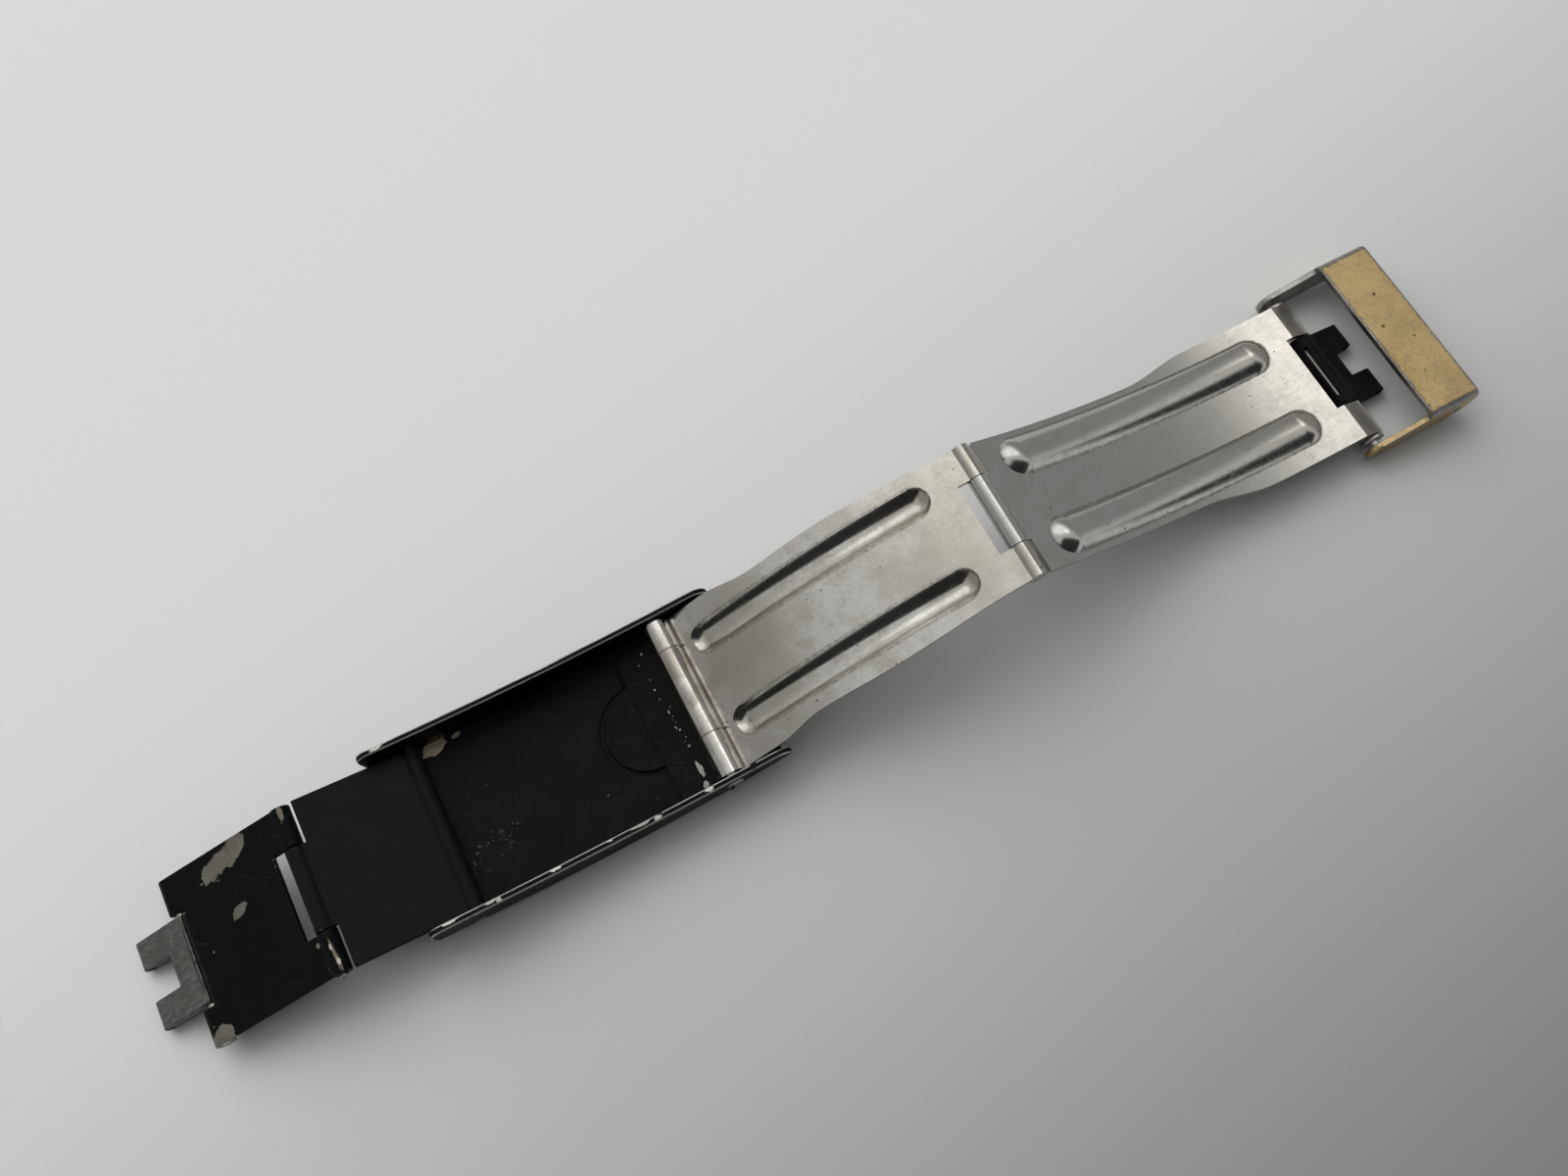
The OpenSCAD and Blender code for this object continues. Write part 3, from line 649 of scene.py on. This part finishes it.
def new_material(name: str) -> tuple[bpy.types.Material, Graph, bpy.types.Node]:
    """Starts a material.

    Args:
        name: Its name.

    Returns:
        The material, its graph and its Principled shader.
    """
    made = bpy.data.materials.new(name)
    made.use_nodes = True
    return made, Graph(made.node_tree), made.node_tree.nodes["Principled BSDF"]


def add_bump(g: Graph, shader: bpy.types.Node, height: object, strength: float,
             depth_mm: float = RELIEF_MM) -> None:
    """Gives a shader a fine relief.

    Args:
        g: The material's graph.
        shader: Its Principled shader.
        height: The relief, 0 to 1.
        strength: How much of it shows.
        depth_mm: How deep the relief is.
    """
    bump = g.node("ShaderNodeBump")
    bump.inputs["Strength"].default_value = strength
    bump.inputs["Distance"].default_value = depth_mm * MM
    g.feed(bump.inputs["Height"], height)
    g.feed(shader.inputs["Normal"], bump.outputs["Normal"])


@dataclass(frozen=True)
class Gilding:
    """Brushed gold plating on the latch's outer faces, with steel inside and at its bends.

    The latch's faces are found from its pin: up to top_mm over it, from near_mm to far_mm
    along its slope, and half_w_mm to each side. The gold stops an inset short of their edges.
    It fades in between the two depths of skin_mm, and on the near arm between those of arm_mm.
    """

    name: str
    gold: Colour = (0.57, 0.42, 0.21)
    rubbed: Colour = (0.46, 0.37, 0.24)
    steel: Colour = (0.4, 0.385, 0.36)
    line: Colour = (0.1, 0.09, 0.08)
    scratch: Colour = (0.26, 0.18, 0.09)
    rust: Colour = (0.07, 0.045, 0.03)
    pin_mm: Point = (0.0, 0.0, 0.0)
    slope_deg: float = 3.0
    top_mm: float = 3.04
    near_mm: float = 4.8
    far_mm: float = 10.5
    half_w_mm: float = 9.7
    side_inset_mm: float = 0.62
    near_inset_mm: float = 0.28
    far_inset_mm: float = 0.22
    top_inset_mm: float = 0.1
    skin_mm: Pair = (0.06, 0.02)
    arm_mm: Pair = (0.55, 0.45)
    fade_mm: float = 0.06
    scratches: tuple[Scratches, ...] = (Scratches((0.75, 0.66), (-0.66, 0.75), 0.8, 19.0),
                                        Scratches((0.2, 0.98), (-0.98, 0.2), 0.5, 29.0),
                                        Scratches((-0.5, 0.87), (0.87, 0.5), 0.9, 41.0))

    def plated(self, g: Graph) -> tuple[Socket, Socket]:
        """Finds where the gold lies, and the dark line round it on top.

        Args:
            g: The material's graph.

        Returns:
            The gold's mask and the line's mask.
        """
        turn = math.radians(self.slope_deg)
        off = g.vector("SUBTRACT", g.place(), self.pin_mm)
        along = g.dot(off, (math.cos(turn), 0.0, -math.sin(turn)))
        up = g.dot(off, (math.sin(turn), 0.0, math.cos(turn)))
        across = g.math("ABSOLUTE", g.dot(off, (0.0, 1.0, 0.0)))
        broad = g.ripple(g.place(), scale=2.2, detail=5.0, roughness=0.72)
        fine = g.ripple(g.place(), scale=9.0, detail=3.0, roughness=0.7)
        wobble = g.added(fine, 0.5, g.times(broad, 0.8))
        on_top = g.step(up, *(self.top_mm - depth for depth in self.skin_mm))
        side_in = g.minus(self.half_w_mm - self.side_inset_mm, across)
        near_in = g.minus(along, self.near_mm + self.near_inset_mm)
        far_in = g.minus(self.far_mm - self.far_inset_mm, along)
        field_in = g.math("MINIMUM", g.math("MINIMUM", side_in, near_in), far_in)
        field_in = g.math("ADD", field_in, wobble)
        top_gold = g.times(on_top, g.step(field_in, -self.fade_mm, self.fade_mm))
        on_arm = g.step(across, *(self.half_w_mm - depth for depth in self.skin_mm))
        below = g.math("ADD", g.minus(self.top_mm - self.top_inset_mm, up), wobble)
        arm_gold = g.times(on_arm, g.step(below, -self.fade_mm, self.top_inset_mm))
        near_arm = g.step(g.dot(off, (0.0, -1.0, 0.0)),
                          *(self.half_w_mm - depth for depth in self.arm_mm))
        near_arm = g.times(near_arm, g.step(along, self.near_mm, self.near_mm - 0.3))
        gold = g.most(top_gold, g.most(arm_gold, near_arm))
        line = g.times(g.step(g.math("ABSOLUTE", field_in), low=0.2, high=0.04), on_top)
        return gold, line

    def material(self, effects: Effects) -> bpy.types.Material:
        """Builds the material.

        Args:
            effects: The shared effects.

        Returns:
            The new material.
        """
        made, g, shader = new_material(self.name)
        shader.inputs["Metallic"].default_value = 1.0
        gold, line = self.plated(g)
        worn = g.use(effects.chips, amount=0.3, size=1.2, seed=21.0)
        cloud = g.use(effects.mottle, size=3.5, seed=13.0)
        lines = g.use(effects.grain, fineness=Run.SLANTED.value, seed=17.0)
        cuts, more, arcs = (scratches.mask(g, effects) for scratches in self.scratches)
        cuts = g.most(g.most(cuts, more), arcs)
        rust = g.use(effects.specks, spacing=0.7, share=0.1, size=0.2, seed=23.0)
        metal = g.mix(cloud, self.gold, darker(self.gold, 0.86))
        metal = g.mix(g.times(worn, 0.8), metal, self.rubbed)
        metal = g.mix(g.times(cuts, 0.75), metal, self.scratch)
        plain = g.mix(cloud, self.steel, darker(self.steel, 0.7))
        plain = g.mix(g.times(line, 0.85), plain, self.line)
        colour = g.mix(g.times(rust, 0.8), g.mix(gold, plain, metal), self.rust)
        g.feed(shader.inputs["Base Color"], colour)
        shine = g.spread(lines, 0.26, 0.42)
        g.feed(shader.inputs["Roughness"], g.added(cloud, 0.08, shine))
        relief = g.added(lines, 0.25, g.times(cuts, -0.5))
        add_bump(g, shader, g.minus(relief, rust), 0.3)
        return made


def soften(node: str, width_mm: float, face: bpy.types.Material,
           edge: bpy.types.Material | None = None, angle: float = EDGE_DEG) -> None:
    """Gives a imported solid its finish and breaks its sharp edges.

    Args:
        node: The solid's name.
        width_mm: The width of the broken edges, or 0 to leave the mesh as it is.
        face: The material of its faces.
        edge: The material of its broken edges, or None for the same.
        angle: Edges sharper than this many degrees are broken.
    """
    piece = frame["nodes"][node]
    piece.data.materials.clear()
    piece.data.materials.append(face)
    piece.data.materials.append(edge or face)
    if not width_mm:
        return
    weld = piece.modifiers.new("join", "WELD")
    weld.merge_threshold = JOIN_MM * MM
    flat = piece.modifiers.new("plain_faces", "DECIMATE")
    flat.decimate_type = "DISSOLVE"
    flat.angle_limit = math.radians(FLAT_DEG)
    bevel = piece.modifiers.new("broken_edges", "BEVEL")
    bevel.width = width_mm * MM
    bevel.segments = 2
    bevel.limit_method = "ANGLE"
    bevel.angle_limit = math.radians(angle)
    bevel.use_clamp_overlap = False
    bevel.material = 1
    normals = piece.modifiers.new("even_shading", "WEIGHTED_NORMAL")
    normals.keep_sharp = False


def turned(name: str, profile: tuple[Pair, ...], place: Point, material: bpy.types.Material,
           body: str, side: float = 1.0, steps: int = 40) -> None:
    """Makes a small turned piece whose axis lies along Y.

    Args:
        name: The piece's name.
        profile: Its outline as (radius, distance out along Y) in mm, which ends on the axis.
        place: Where its base is, in metres.
        material: Its finish.
        body: The body that it moves with.
        side: 1 if it points to +Y and -1 to -Y.
        steps: How many facets go round it.
    """
    mesh = bpy.data.meshes.new(name)
    shape = bmesh.new()
    rings = []
    for radius, out in profile:
        turns = [2 * math.pi * i / steps for i in range(steps if radius else 1)]
        rings.append([shape.verts.new((place[0] + radius * MM * math.cos(turn),
                                       place[1] + side * out * MM,
                                       place[2] + radius * MM * math.sin(turn)))
                      for turn in turns])
    for low, high in zip(rings, rings[1:]):
        for i in range(steps):
            corners = (low[i % len(low)], low[(i + 1) % len(low)],
                       high[(i + 1) % len(high)], high[i % len(high)])
            shape.faces.new(tuple(dict.fromkeys(corners)))
    bmesh.ops.recalc_face_normals(shape, faces=shape.faces)
    for face in shape.faces:
        face.smooth = True
    shape.to_mesh(mesh)
    shape.free()
    piece = show(name, mesh)
    piece.data.materials.append(material)
    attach(piece, body)


def axis_of(joint: str) -> Point:
    """The place of a joint's axis at Y 0, in metres."""
    joints = frame["record"]["behaviour"]["joints"]
    return next(tuple(entry["pos_m"]) for entry in joints if entry["name"] == joint)


def spots_from(joint: str, *rows: tuple) -> tuple[Spot, ...]:
    """Makes spots from rows in Spot's order, the X of each centre counted from a joint's axis."""
    start = axis_of(joint)[0] / MM
    return tuple(Spot((start + x, y, z), *rest) for (x, y, z), *rest in rows)


@dataclass
class Finishes:
    """Every material that more than one piece has, built once."""

    effects: Effects = field(default_factory=Effects)

    def __post_init__(self) -> None:
        """Builds the materials."""
        pin = Steel("turned_pin", roughness=0.26, grain=Run.EVEN, stain=0.3)
        dark_pin = Steel("dark_pin", colour=(0.1, 0.1, 0.1), stained=(0.05, 0.05, 0.05),
                         roughness=0.34, grain=Run.EVEN)
        edge = Steel("rubbed_edge", colour=(0.68, 0.66, 0.63), roughness=0.22, grain=Run.EVEN,
                     stain=0.5, stain_size=1.2)
        self.pin = pin.material(self.effects)
        self.dark_pin = dark_pin.material(self.effects)
        self.bright_edge = edge.material(self.effects)


@dataclass
class CoverShell:
    """The coated channel, its two pins and their ends."""

    finishes: Finishes
    edge_mm: float = 0.12
    rim_deg: float = 75.0
    pin_edge_mm: float = 0.05
    pin_end_r_mm: float = 0.78
    pivot_end_r_mm: float = 0.5
    crown_mm: float = 0.05
    sunk_mm: float = 0.02
    half_w_mm: float = 9.0
    warm: Colour = (0.36, 0.31, 0.23)
    grey: Colour = (0.4, 0.385, 0.35)
    bright: Colour = (0.62, 0.6, 0.56)
    scuff: Colour = (0.03, 0.03, 0.028)

    def dress(self) -> None:
        """Finishes the shell: chips inside, and a rim rubbed bright."""
        # Chips on the rim: place, length and width
        chips = spots_from("cover_hinge", *(
            ((x, y, z), long, wide, 0.0, 0.6, 0.8, x, self.bright)
            for x, y, z, long, wide in (
                (-27.4, -8.55, 6.3, 1.5, 0.35), (-23.6, -8.5, 5.8, 1.2, 0.4),
                (-23.0, -8.75, 5.8, 0.5, 0.5), (-17.6, -8.5, 5.1, 0.9, 0.5),
                (-12.3, -8.5, 4.9, 0.5, 0.3), (-9.2, -8.5, 4.6, 1.9, 0.35),
                (-7.6, -8.7, 4.6, 0.7, 0.4), (-2.4, -8.6, 4.7, 0.8, 0.5),
                (-27.5, 8.7, 6.3, 1.2, 0.3), (-26.9, 8.9, 6.3, 3.0, 0.12),
                (-11.0, 8.9, 4.8, 6.0, 0.1))))
        # Worn places at the barrel, on the floor and beside the hinge
        worn = spots_from(
            "cover_hinge",
            ((-23.5, 7.75, 2.0), 2.9, 1.5, 14.0, 0.8, 0.5, 1.0, self.warm),
            ((-21.4, 8.0, 1.6), 1.0, 0.45, 10.0, 0.7, 0.5, 2.0, self.warm),
            ((-22.4, -3.6, 1.6), 4.6, 2.2, 20.0, 1.0, 0.6, 3.0, self.scuff, 0.5, True),
            ((-2.35, -5.9, 1.6), 0.45, 2.3, 4.0, 0.7, 0.6, 5.0, self.grey),
            ((-2.5, -7.5, 1.55), 0.55, 0.9, 0.0, 0.7, 0.6, 6.0, self.grey),
            ((-2.65, 2.9, 1.2), 0.5, 3.0, 0.0, 1.0, 0.3, 8.0, self.grey, 0.03, True),
            ((-2.4, 6.7, 1.3), 0.2, 0.25, 0.0, 1.0, 0.3, 9.0, self.grey),
            ((-2.4, -1.4, 1.2), 0.6, 5.0, 0.0, 1.0, 0.3, 10.0, self.grey, 0.03, True))
        inside = Coating("cover_coating", worn=0.02, scratched=0.35, dusty=0.05,
                         spots=worn + chips)
        rim = Coating("cover_rim", worn=0.72, worn_size=1.6, bare=(0.6, 0.58, 0.55),
                      dusty=0.0, worn_beyond=8.3, spots=chips)
        effects = self.finishes.effects
        soften("cover", self.edge_mm, inside.material(effects), rim.material(effects),
               self.rim_deg)

    def build(self) -> None:
        """Finishes the pins and adds their crowned ends outside the walls."""
        soften("cover_hinge_pin", self.pin_edge_mm, self.finishes.pin)
        soften("extension_pivot_pin", self.pin_edge_mm, self.finishes.dark_pin)
        ends = (("cover_hinge", self.pin_end_r_mm, self.finishes.pin),
                ("extension_pivot", self.pivot_end_r_mm, self.finishes.dark_pin))
        for joint, radius, finish in ends:
            x, _, z = axis_of(joint)
            crown = tuple((r * radius, up * self.crown_mm) for r, up in CROWN)
            for label, side in (("far", 1.0), ("near", -1.0)):
                turned(f"{joint}_end_{label}", ((radius, -self.sunk_mm), *crown),
                       (x, side * self.half_w_mm * MM, z), finish, "cover", side)


@dataclass
class Extension:
    """The two extension plates, their pins and the outer fork."""

    finishes: Finishes
    edge_mm: float = 0.08
    fork_edge_mm: float = 0.1
    hinge_pin_edge_mm: float = 0.06
    pin_edge_mm: float = 0.05
    grey: Colour = (0.25, 0.237, 0.2)
    brown: Colour = (0.2, 0.165, 0.12)

    def dress(self) -> None:
        """Finishes the plates, the pins and the fork."""
        self.dress_plates()
        self.dress_fork()
        soften("extension_hinge_pin", self.hinge_pin_edge_mm, self.finishes.dark_pin,
               self.finishes.bright_edge)
        soften("outer_fork_pin", self.pin_edge_mm, self.finishes.pin)

    def dress_plates(self) -> None:
        """Finishes the satin extension plate and the rubbed end plate."""
        effects = self.finishes.effects
        chip = spots_from("outer_fork_swing",
                          ((12.5, -4.1, 6.4), 0.6, 0.4, 0.0, 0.5, 0.5, 2.0, (0.4, 0.38, 0.34)))
        satin = Coating("extension_coating", colour=(0.0052, 0.005, 0.005),
                        dulled=(0.0068, 0.0065, 0.0064), roughness=0.46, gloss=0.1, worn=0.0,
                        scratched=0.05, dusty=0.03, spots=chip)
        satin_edge = Coating("extension_edge", worn=0.12, worn_size=0.7, roughness=0.45)
        soften("extension_plate", self.edge_mm, satin.material(effects),
               satin_edge.material(effects))
        wear = spots_from(
            "outer_fork_swing",
            ((4.9, 6.2, 4.55), 3.3, 2.2, 20.0, 1.0, 0.6, 3.0, self.grey),
            ((7.0, 6.75, 5.05), 3.6, 1.9, 35.0, 1.0, 0.6, 4.0, self.grey),
            ((5.85, 1.55, 4.75), 1.8, 1.2, 25.0, 0.9, 0.6, 5.0, self.grey),
            ((0.5, -7.8, 3.0), 2.2, 2.4, -35.0, 1.6, 0.5, 6.0, self.grey),
            ((12.8, 7.4, 6.4), 0.45, 1.5, 0.0, 0.6, 0.5, 7.0, self.grey),
            ((12.85, -6.6, 6.4), 0.26, 3.0, 3.0, 0.7, 0.9, 8.0, self.brown),
            ((12.9, -7.0, 6.4), 0.3, 0.6, 0.0, 0.7, 0.6, 10.0, (0.62, 0.58, 0.5)),
            ((12.7, -5.6, 6.4), 0.2, 0.7, 0.0, 0.7, 0.6, 11.0, (0.5, 0.47, 0.42)),
            ((11.6, -4.9, 6.2), 0.4, 0.5, 0.0, 0.7, 0.5, 9.0, self.grey))
        worn = Coating("end_plate_coating", colour=(0.0022, 0.0025, 0.0026),
                       dulled=(0.0034, 0.0036, 0.0036), worn=0.0, scratched=0.15, dusty=0.03,
                       spots=wear)
        worn_edge = Coating("end_plate_edge", worn=0.3, worn_size=1.2, bare=(0.3, 0.29, 0.27),
                            spots=wear)
        soften("end_plate", self.edge_mm, worn.material(effects), worn_edge.material(effects))

    def dress_fork(self) -> None:
        """Finishes the brushed fork, with painted shade that turns it near-black along its
        knuckle.
        """
        # Painted shade: a near-black band along the fork's knuckle
        painted_knuckle_shade = spots_from("outer_fork_swing",
                            ((0.42, 0.0, 2.8), 0.9, 9.0, 0.0, 2.0, 0.1, 1.0, (0.02, 0.02, 0.02)))
        fork = Steel("brushed_fork", colour=(0.26, 0.254, 0.24), stained=(0.055, 0.053, 0.05),
                     roughness=0.36, grain=Run.BRUSHED, grain_depth=1.0, grain_tone=1.0,
                     stain=0.5, stain_size=1.5, scratched=0.8, spots=painted_knuckle_shade)
        edge = Steel("fork_edge", colour=(0.2, 0.195, 0.185), stained=(0.06, 0.058, 0.055),
                     roughness=0.34, grain=Run.EVEN, stain=1.0, stain_size=0.8)
        effects = self.finishes.effects
        soften("outer_fork_link", self.fork_edge_mm, fork.material(effects),
               edge.material(effects))


@dataclass
class Blades:
    """The two folding blades and their hinge pin."""

    finishes: Finishes
    pin_edge_mm: float = 0.05
    brown: Colour = (0.33, 0.29, 0.24)

    def dress(self) -> None:
        """Finishes both blades: the middle one warm and stained, the lower one brighter."""
        effects = self.finishes.effects
        near, far = (axis_of(name)[0] / MM for name in ("cover_hinge", "middle_hinge"))
        grooves = Ribs(middle=near + 14.8, half_length=10.8, apart=4.4, half_width=1.55)
        raised = Ribs(middle=far + 19.1, half_length=13.8, apart=4.4, half_width=1.95)
        stains = spots_from(
            "cover_hinge",
            ((0.0, 3.4, 4.0), 2.6, 3.2, 0.0, 2.5, 0.6, 1.0, self.brown, 0.4),
            ((0.0, -0.6, 4.0), 1.0, 1.0, 0.0, 2.5, 0.6, 2.0, self.brown, 0.4),
            ((6.0, 1.2, 5.0), 9.0, 4.6, 15.0, 4.0, 1.1, 3.0, self.brown, 0.7),
            ((28.0, 0.4, 11.5), 12.0, 15.0, 0.0, 6.0, 0.9, 4.0, (0.4, 0.37, 0.32), 0.6),
            ((7.0, 0.5, 5.0), 7.0, 18.0, 0.0, 6.0, 0.8, 6.0, (0.42, 0.39, 0.345), 0.7))
        middle = Steel("middle_blade_steel", colour=(0.63, 0.61, 0.575),
                       stained=(0.4, 0.37, 0.33), roughness=0.13, grain_depth=0.12, stain=0.8,
                       stain_size=3.2, pitted=0.06, ribs=grooves, spots=stains,
                       lines=(Line(near, 1.7, 5.1), Line(near, 1.7, -3.9)))
        warm_end = spots_from("middle_hinge", ((37.0, 0.0, 3.0), 26.0, 40.0, 0.0, 12.0, 0.5, 5.0,
                                               (0.5, 0.46, 0.41), 0.8))
        lower = Steel("lower_blade_steel", colour=(0.5, 0.5, 0.48), stained=(0.37, 0.36, 0.335),
                      roughness=0.16, grain_depth=0.12, grain_tone=0.1, stain=0.5,
                      stain_size=2.4, pitted=0.08, ribs=raised, spots=warm_end)
        soften("middle_blade", 0.0, middle.material(effects))
        soften("lower_blade", 0.0, lower.material(effects))
        soften("middle_hinge_pin", self.pin_edge_mm, self.finishes.pin)


@dataclass
class BarAndLatch:
    """The spring bar, the inner fork on it and the gilded latch."""

    finishes: Finishes
    edge_mm: float = 0.08
    tube_edge_mm: float = 0.05
    tip_edge_mm: float = 0.06
    fork_edge_mm: float = 0.1

    def dress(self) -> None:
        """Finishes the bar, the fork and the latch."""
        effects = self.finishes.effects
        tube = Steel("bar_tube", colour=(0.4, 0.39, 0.37), roughness=0.3, grain=Run.EVEN)
        spring = Steel("spring_wire", colour=(0.3, 0.3, 0.3), roughness=0.3, grain=Run.EVEN)
        soften("spring_bar_tube", self.tube_edge_mm, tube.material(effects))
        soften("spring_bar_spring", 0.0, spring.material(effects))
        for tip in ("spring_bar_tip_far", "spring_bar_tip_near"):
            soften(tip, self.tip_edge_mm, self.finishes.pin)
        fork = Coating("inner_fork_coating", worn=0.02, dusty=0.02)
        fork_edge = Coating("inner_fork_edge", worn=0.22, worn_size=0.6, bare=(0.35, 0.34, 0.32))
        soften("inner_fork_link", self.fork_edge_mm, fork.material(effects),
               fork_edge.material(effects))
        gilt = Gilding("gold_plating", pin_mm=tuple(Vector(axis_of("latch_fold")) / MM))
        bend = Steel("latch_bend", colour=(0.34, 0.32, 0.29), stained=(0.14, 0.12, 0.1),
                     roughness=0.3, grain=Run.EVEN, stain=0.7, stain_size=1.0)
        soften("latch", self.edge_mm, gilt.material(effects), bend.material(effects))


@dataclass(frozen=True)
class Glow:
    """A part of the room round one direction, whose soft border is given as two cosines."""

    toward: Point
    border: Pair
    strength: float

    def mask(self, g: Graph, way: Socket) -> Socket:
        """Where a way points into this part of the room."""
        return g.step(g.dot(way, tuple(Vector(self.toward).normalized())), *self.border)


@dataclass
class Studio:
    """The paper, the light and the camera.

    The room is brighter at its ceiling and highlight and dimmer at its sides. Its front is
    dark above the floor: dark_front and dark_height are the two soft borders, as cosines,
    dark_lean draws the first in towards the sides, and dark_tilt lifts the other at the right.
    """

    paper: Colour = (0.75, 0.755, 0.745)
    fibre_mm: float = 0.05
    # Painted shade in the paper's colour: how dark it gets, the way it darkens, and where it
    # begins and ends, in mm
    painted_shade_share: float = 0.2
    painted_shade_way: Point = (0.17, -0.985, 0.0)
    painted_shade_from_mm: Pair = (-50.0, 115.0)
    painted_shade_to_mm: Pair = (420.0, 170.0)
    half_m: float = 1.5
    backdrop: float = 0.62
    room: float = 0.74
    room_tint: tuple[float, float, float, float] = (0.99, 1.0, 0.99, 1.0)
    ceiling: Glow = Glow((0.12, 0.6, 0.8), (0.86, 0.97), 1.6)
    highlight: Glow = Glow((0.45, 0.25, 0.86), (0.98, 0.997), 1.2)
    dim_sides: tuple[Glow, ...] = (Glow((1.0, 0.5, 0.0), (0.56, 0.76), 0.48),
                                   Glow((-1.0, 0.0, 0.0), (0.35, 0.8), 0.58))
    dark: float = 0.045
    dark_front: Pair = (-0.03, 0.1)
    dark_height: Pair = (0.02, 0.16)
    dark_lean: float = 0.52
    dark_tilt: float = 0.3
    lamp_m: Point = (-0.42, 0.98, 0.75)
    lamp_size_m: Pair = (1.6, 1.3)
    lamp_w: float = 13.0
    lens_px: float = 1267.0
    image_px: tuple[int, int] = (1600, 1200)
    sensor_mm: float = 36.0
    clip_m: Pair = (0.004, 20.0)
    place_mm: Point = (-13.630, -29.447, 116.277)
    right: Point = (0.88361, -0.46626, -0.04285)
    down: Point = (-0.45546, -0.83465, -0.30972)

    def floor(self) -> None:
        """Lays the sheet of paper, with painted shade in its colour that darkens it on the near
        side and fades back to pale further out.
        """
        mesh = bpy.data.meshes.new("paper")
        s = self.half_m
        mesh.from_pydata([(-s, -s, 0), (s, -s, 0), (s, s, 0), (-s, s, 0)], [], [(0, 1, 2, 3)])
        piece = show("paper", mesh)
        made, g, shader = new_material("paper")
        fibres = g.noise(g.place(), scale=1.4, detail=5.0, roughness=0.6)
        paper = g.mix(fibres, self.paper, darker(self.paper, 0.97))
        # Painted shade: the paper's colour darkens towards the near side and turns pale again far
        # out
        away = g.dot(g.place(), self.painted_shade_way)
        painted_shade = g.times(g.step(away, *self.painted_shade_from_mm), g.step(away, *self.painted_shade_to_mm))
        paper = g.mix(painted_shade, paper, darker(self.paper, self.painted_shade_share))
        g.feed(shader.inputs["Base Color"], paper)
        shader.inputs["Roughness"].default_value = 0.7
        shader.inputs["Specular IOR Level"].default_value = 0.2
        add_bump(g, shader, fibres, 0.12, self.fibre_mm)
        mesh.materials.append(made)

    def world(self) -> None:
        """Sets a soft room: a bright ceiling beyond the clasp, and dark low down in front."""
        world = bpy.data.worlds.new("room")
        bpy.context.scene.world = world
        world.use_nodes = True
        g = Graph(world.node_tree)
        back = world.node_tree.nodes["Background"]
        way = g.node("ShaderNodeTexCoord").outputs["Generated"]
        light = g.spread(self.ceiling.mask(g, way), self.room, self.ceiling.strength)
        light = g.added(self.highlight.mask(g, way), self.highlight.strength, light)
        for side in self.dim_sides:
            light = g.times(light, g.spread(side.mask(g, way), 1.0, side.strength))
        x = g.dot(way, (1.0, 0.0, 0.0))
        front = g.added(g.math("ABSOLUTE", x), -self.dark_lean, g.dot(way, (0.0, -1.0, 0.0)))
        height = g.added(g.most(x, 0.0), -self.dark_tilt, g.dot(way, (0.0, 0.0, 1.0)))
        dark = g.times(g.step(front, *self.dark_front), g.step(height, *self.dark_height))
        light = g.times(light, g.spread(dark, 1.0, self.dark))
        seen = g.node("ShaderNodeLightPath").outputs["Is Camera Ray"]
        g.feed(back.inputs["Strength"], g.added(seen, g.minus(self.backdrop, light), light))
        back.inputs["Color"].default_value = self.room_tint

    def lamps(self) -> None:
        """Hangs one large soft lamp beyond the clasp, to the left."""
        lamp = bpy.data.lights.new("soft_lamp", "AREA")
        lamp.shape = "RECTANGLE"
        lamp.size, lamp.size_y = self.lamp_size_m
        lamp.energy = self.lamp_w
        holder = show("soft_lamp", lamp)
        holder.location = self.lamp_m
        holder.visible_glossy = False
        holder.rotation_euler = (-holder.location).to_track_quat("-Z", "Y").to_euler()

    def camera(self) -> None:
        """Places the camera at the photograph's view."""
        data = bpy.data.cameras.new("camera")
        data.sensor_fit = "HORIZONTAL"
        data.sensor_width = self.sensor_mm
        data.lens = self.sensor_mm * self.lens_px / self.image_px[0]
        data.clip_start, data.clip_end = self.clip_m
        data.dof.use_dof = False
        holder = show("camera", data)
        right = Vector(self.right).normalized()
        up = -Vector(self.down)
        back = right.cross(up).normalized()
        up = back.cross(right)
        turn = Matrix((right, up, back)).transposed().to_4x4()
        holder.matrix_world = Matrix.Translation(Vector(self.place_mm) * MM) @ turn
        bpy.context.scene.camera = holder

    def build(self) -> None:
        """Makes the paper, the light and the camera."""
        self.floor()
        self.world()
        self.lamps()
        self.camera()
        bpy.context.scene.view_settings.view_transform = "Standard"


def main() -> None:
    """Builds and dresses the clasp, piece by piece."""
    logging.basicConfig(level=logging.INFO, format="%(message)s")
    Studio().build()
    log.info("studio: paper, light and camera")
    finishes = Finishes()
    shell = CoverShell(finishes)
    shell.build()
    shell.dress()
    log.info("cover: shell, pins and pin ends")
    Extension(finishes).dress()
    log.info("extension: plates, pins and outer fork")
    Blades(finishes).dress()
    log.info("blades: middle and lower blade with their pin")
    BarAndLatch(finishes).dress()
    log.info("latch: spring bar, inner fork and latch")


if __name__ == "__main__":
    main()
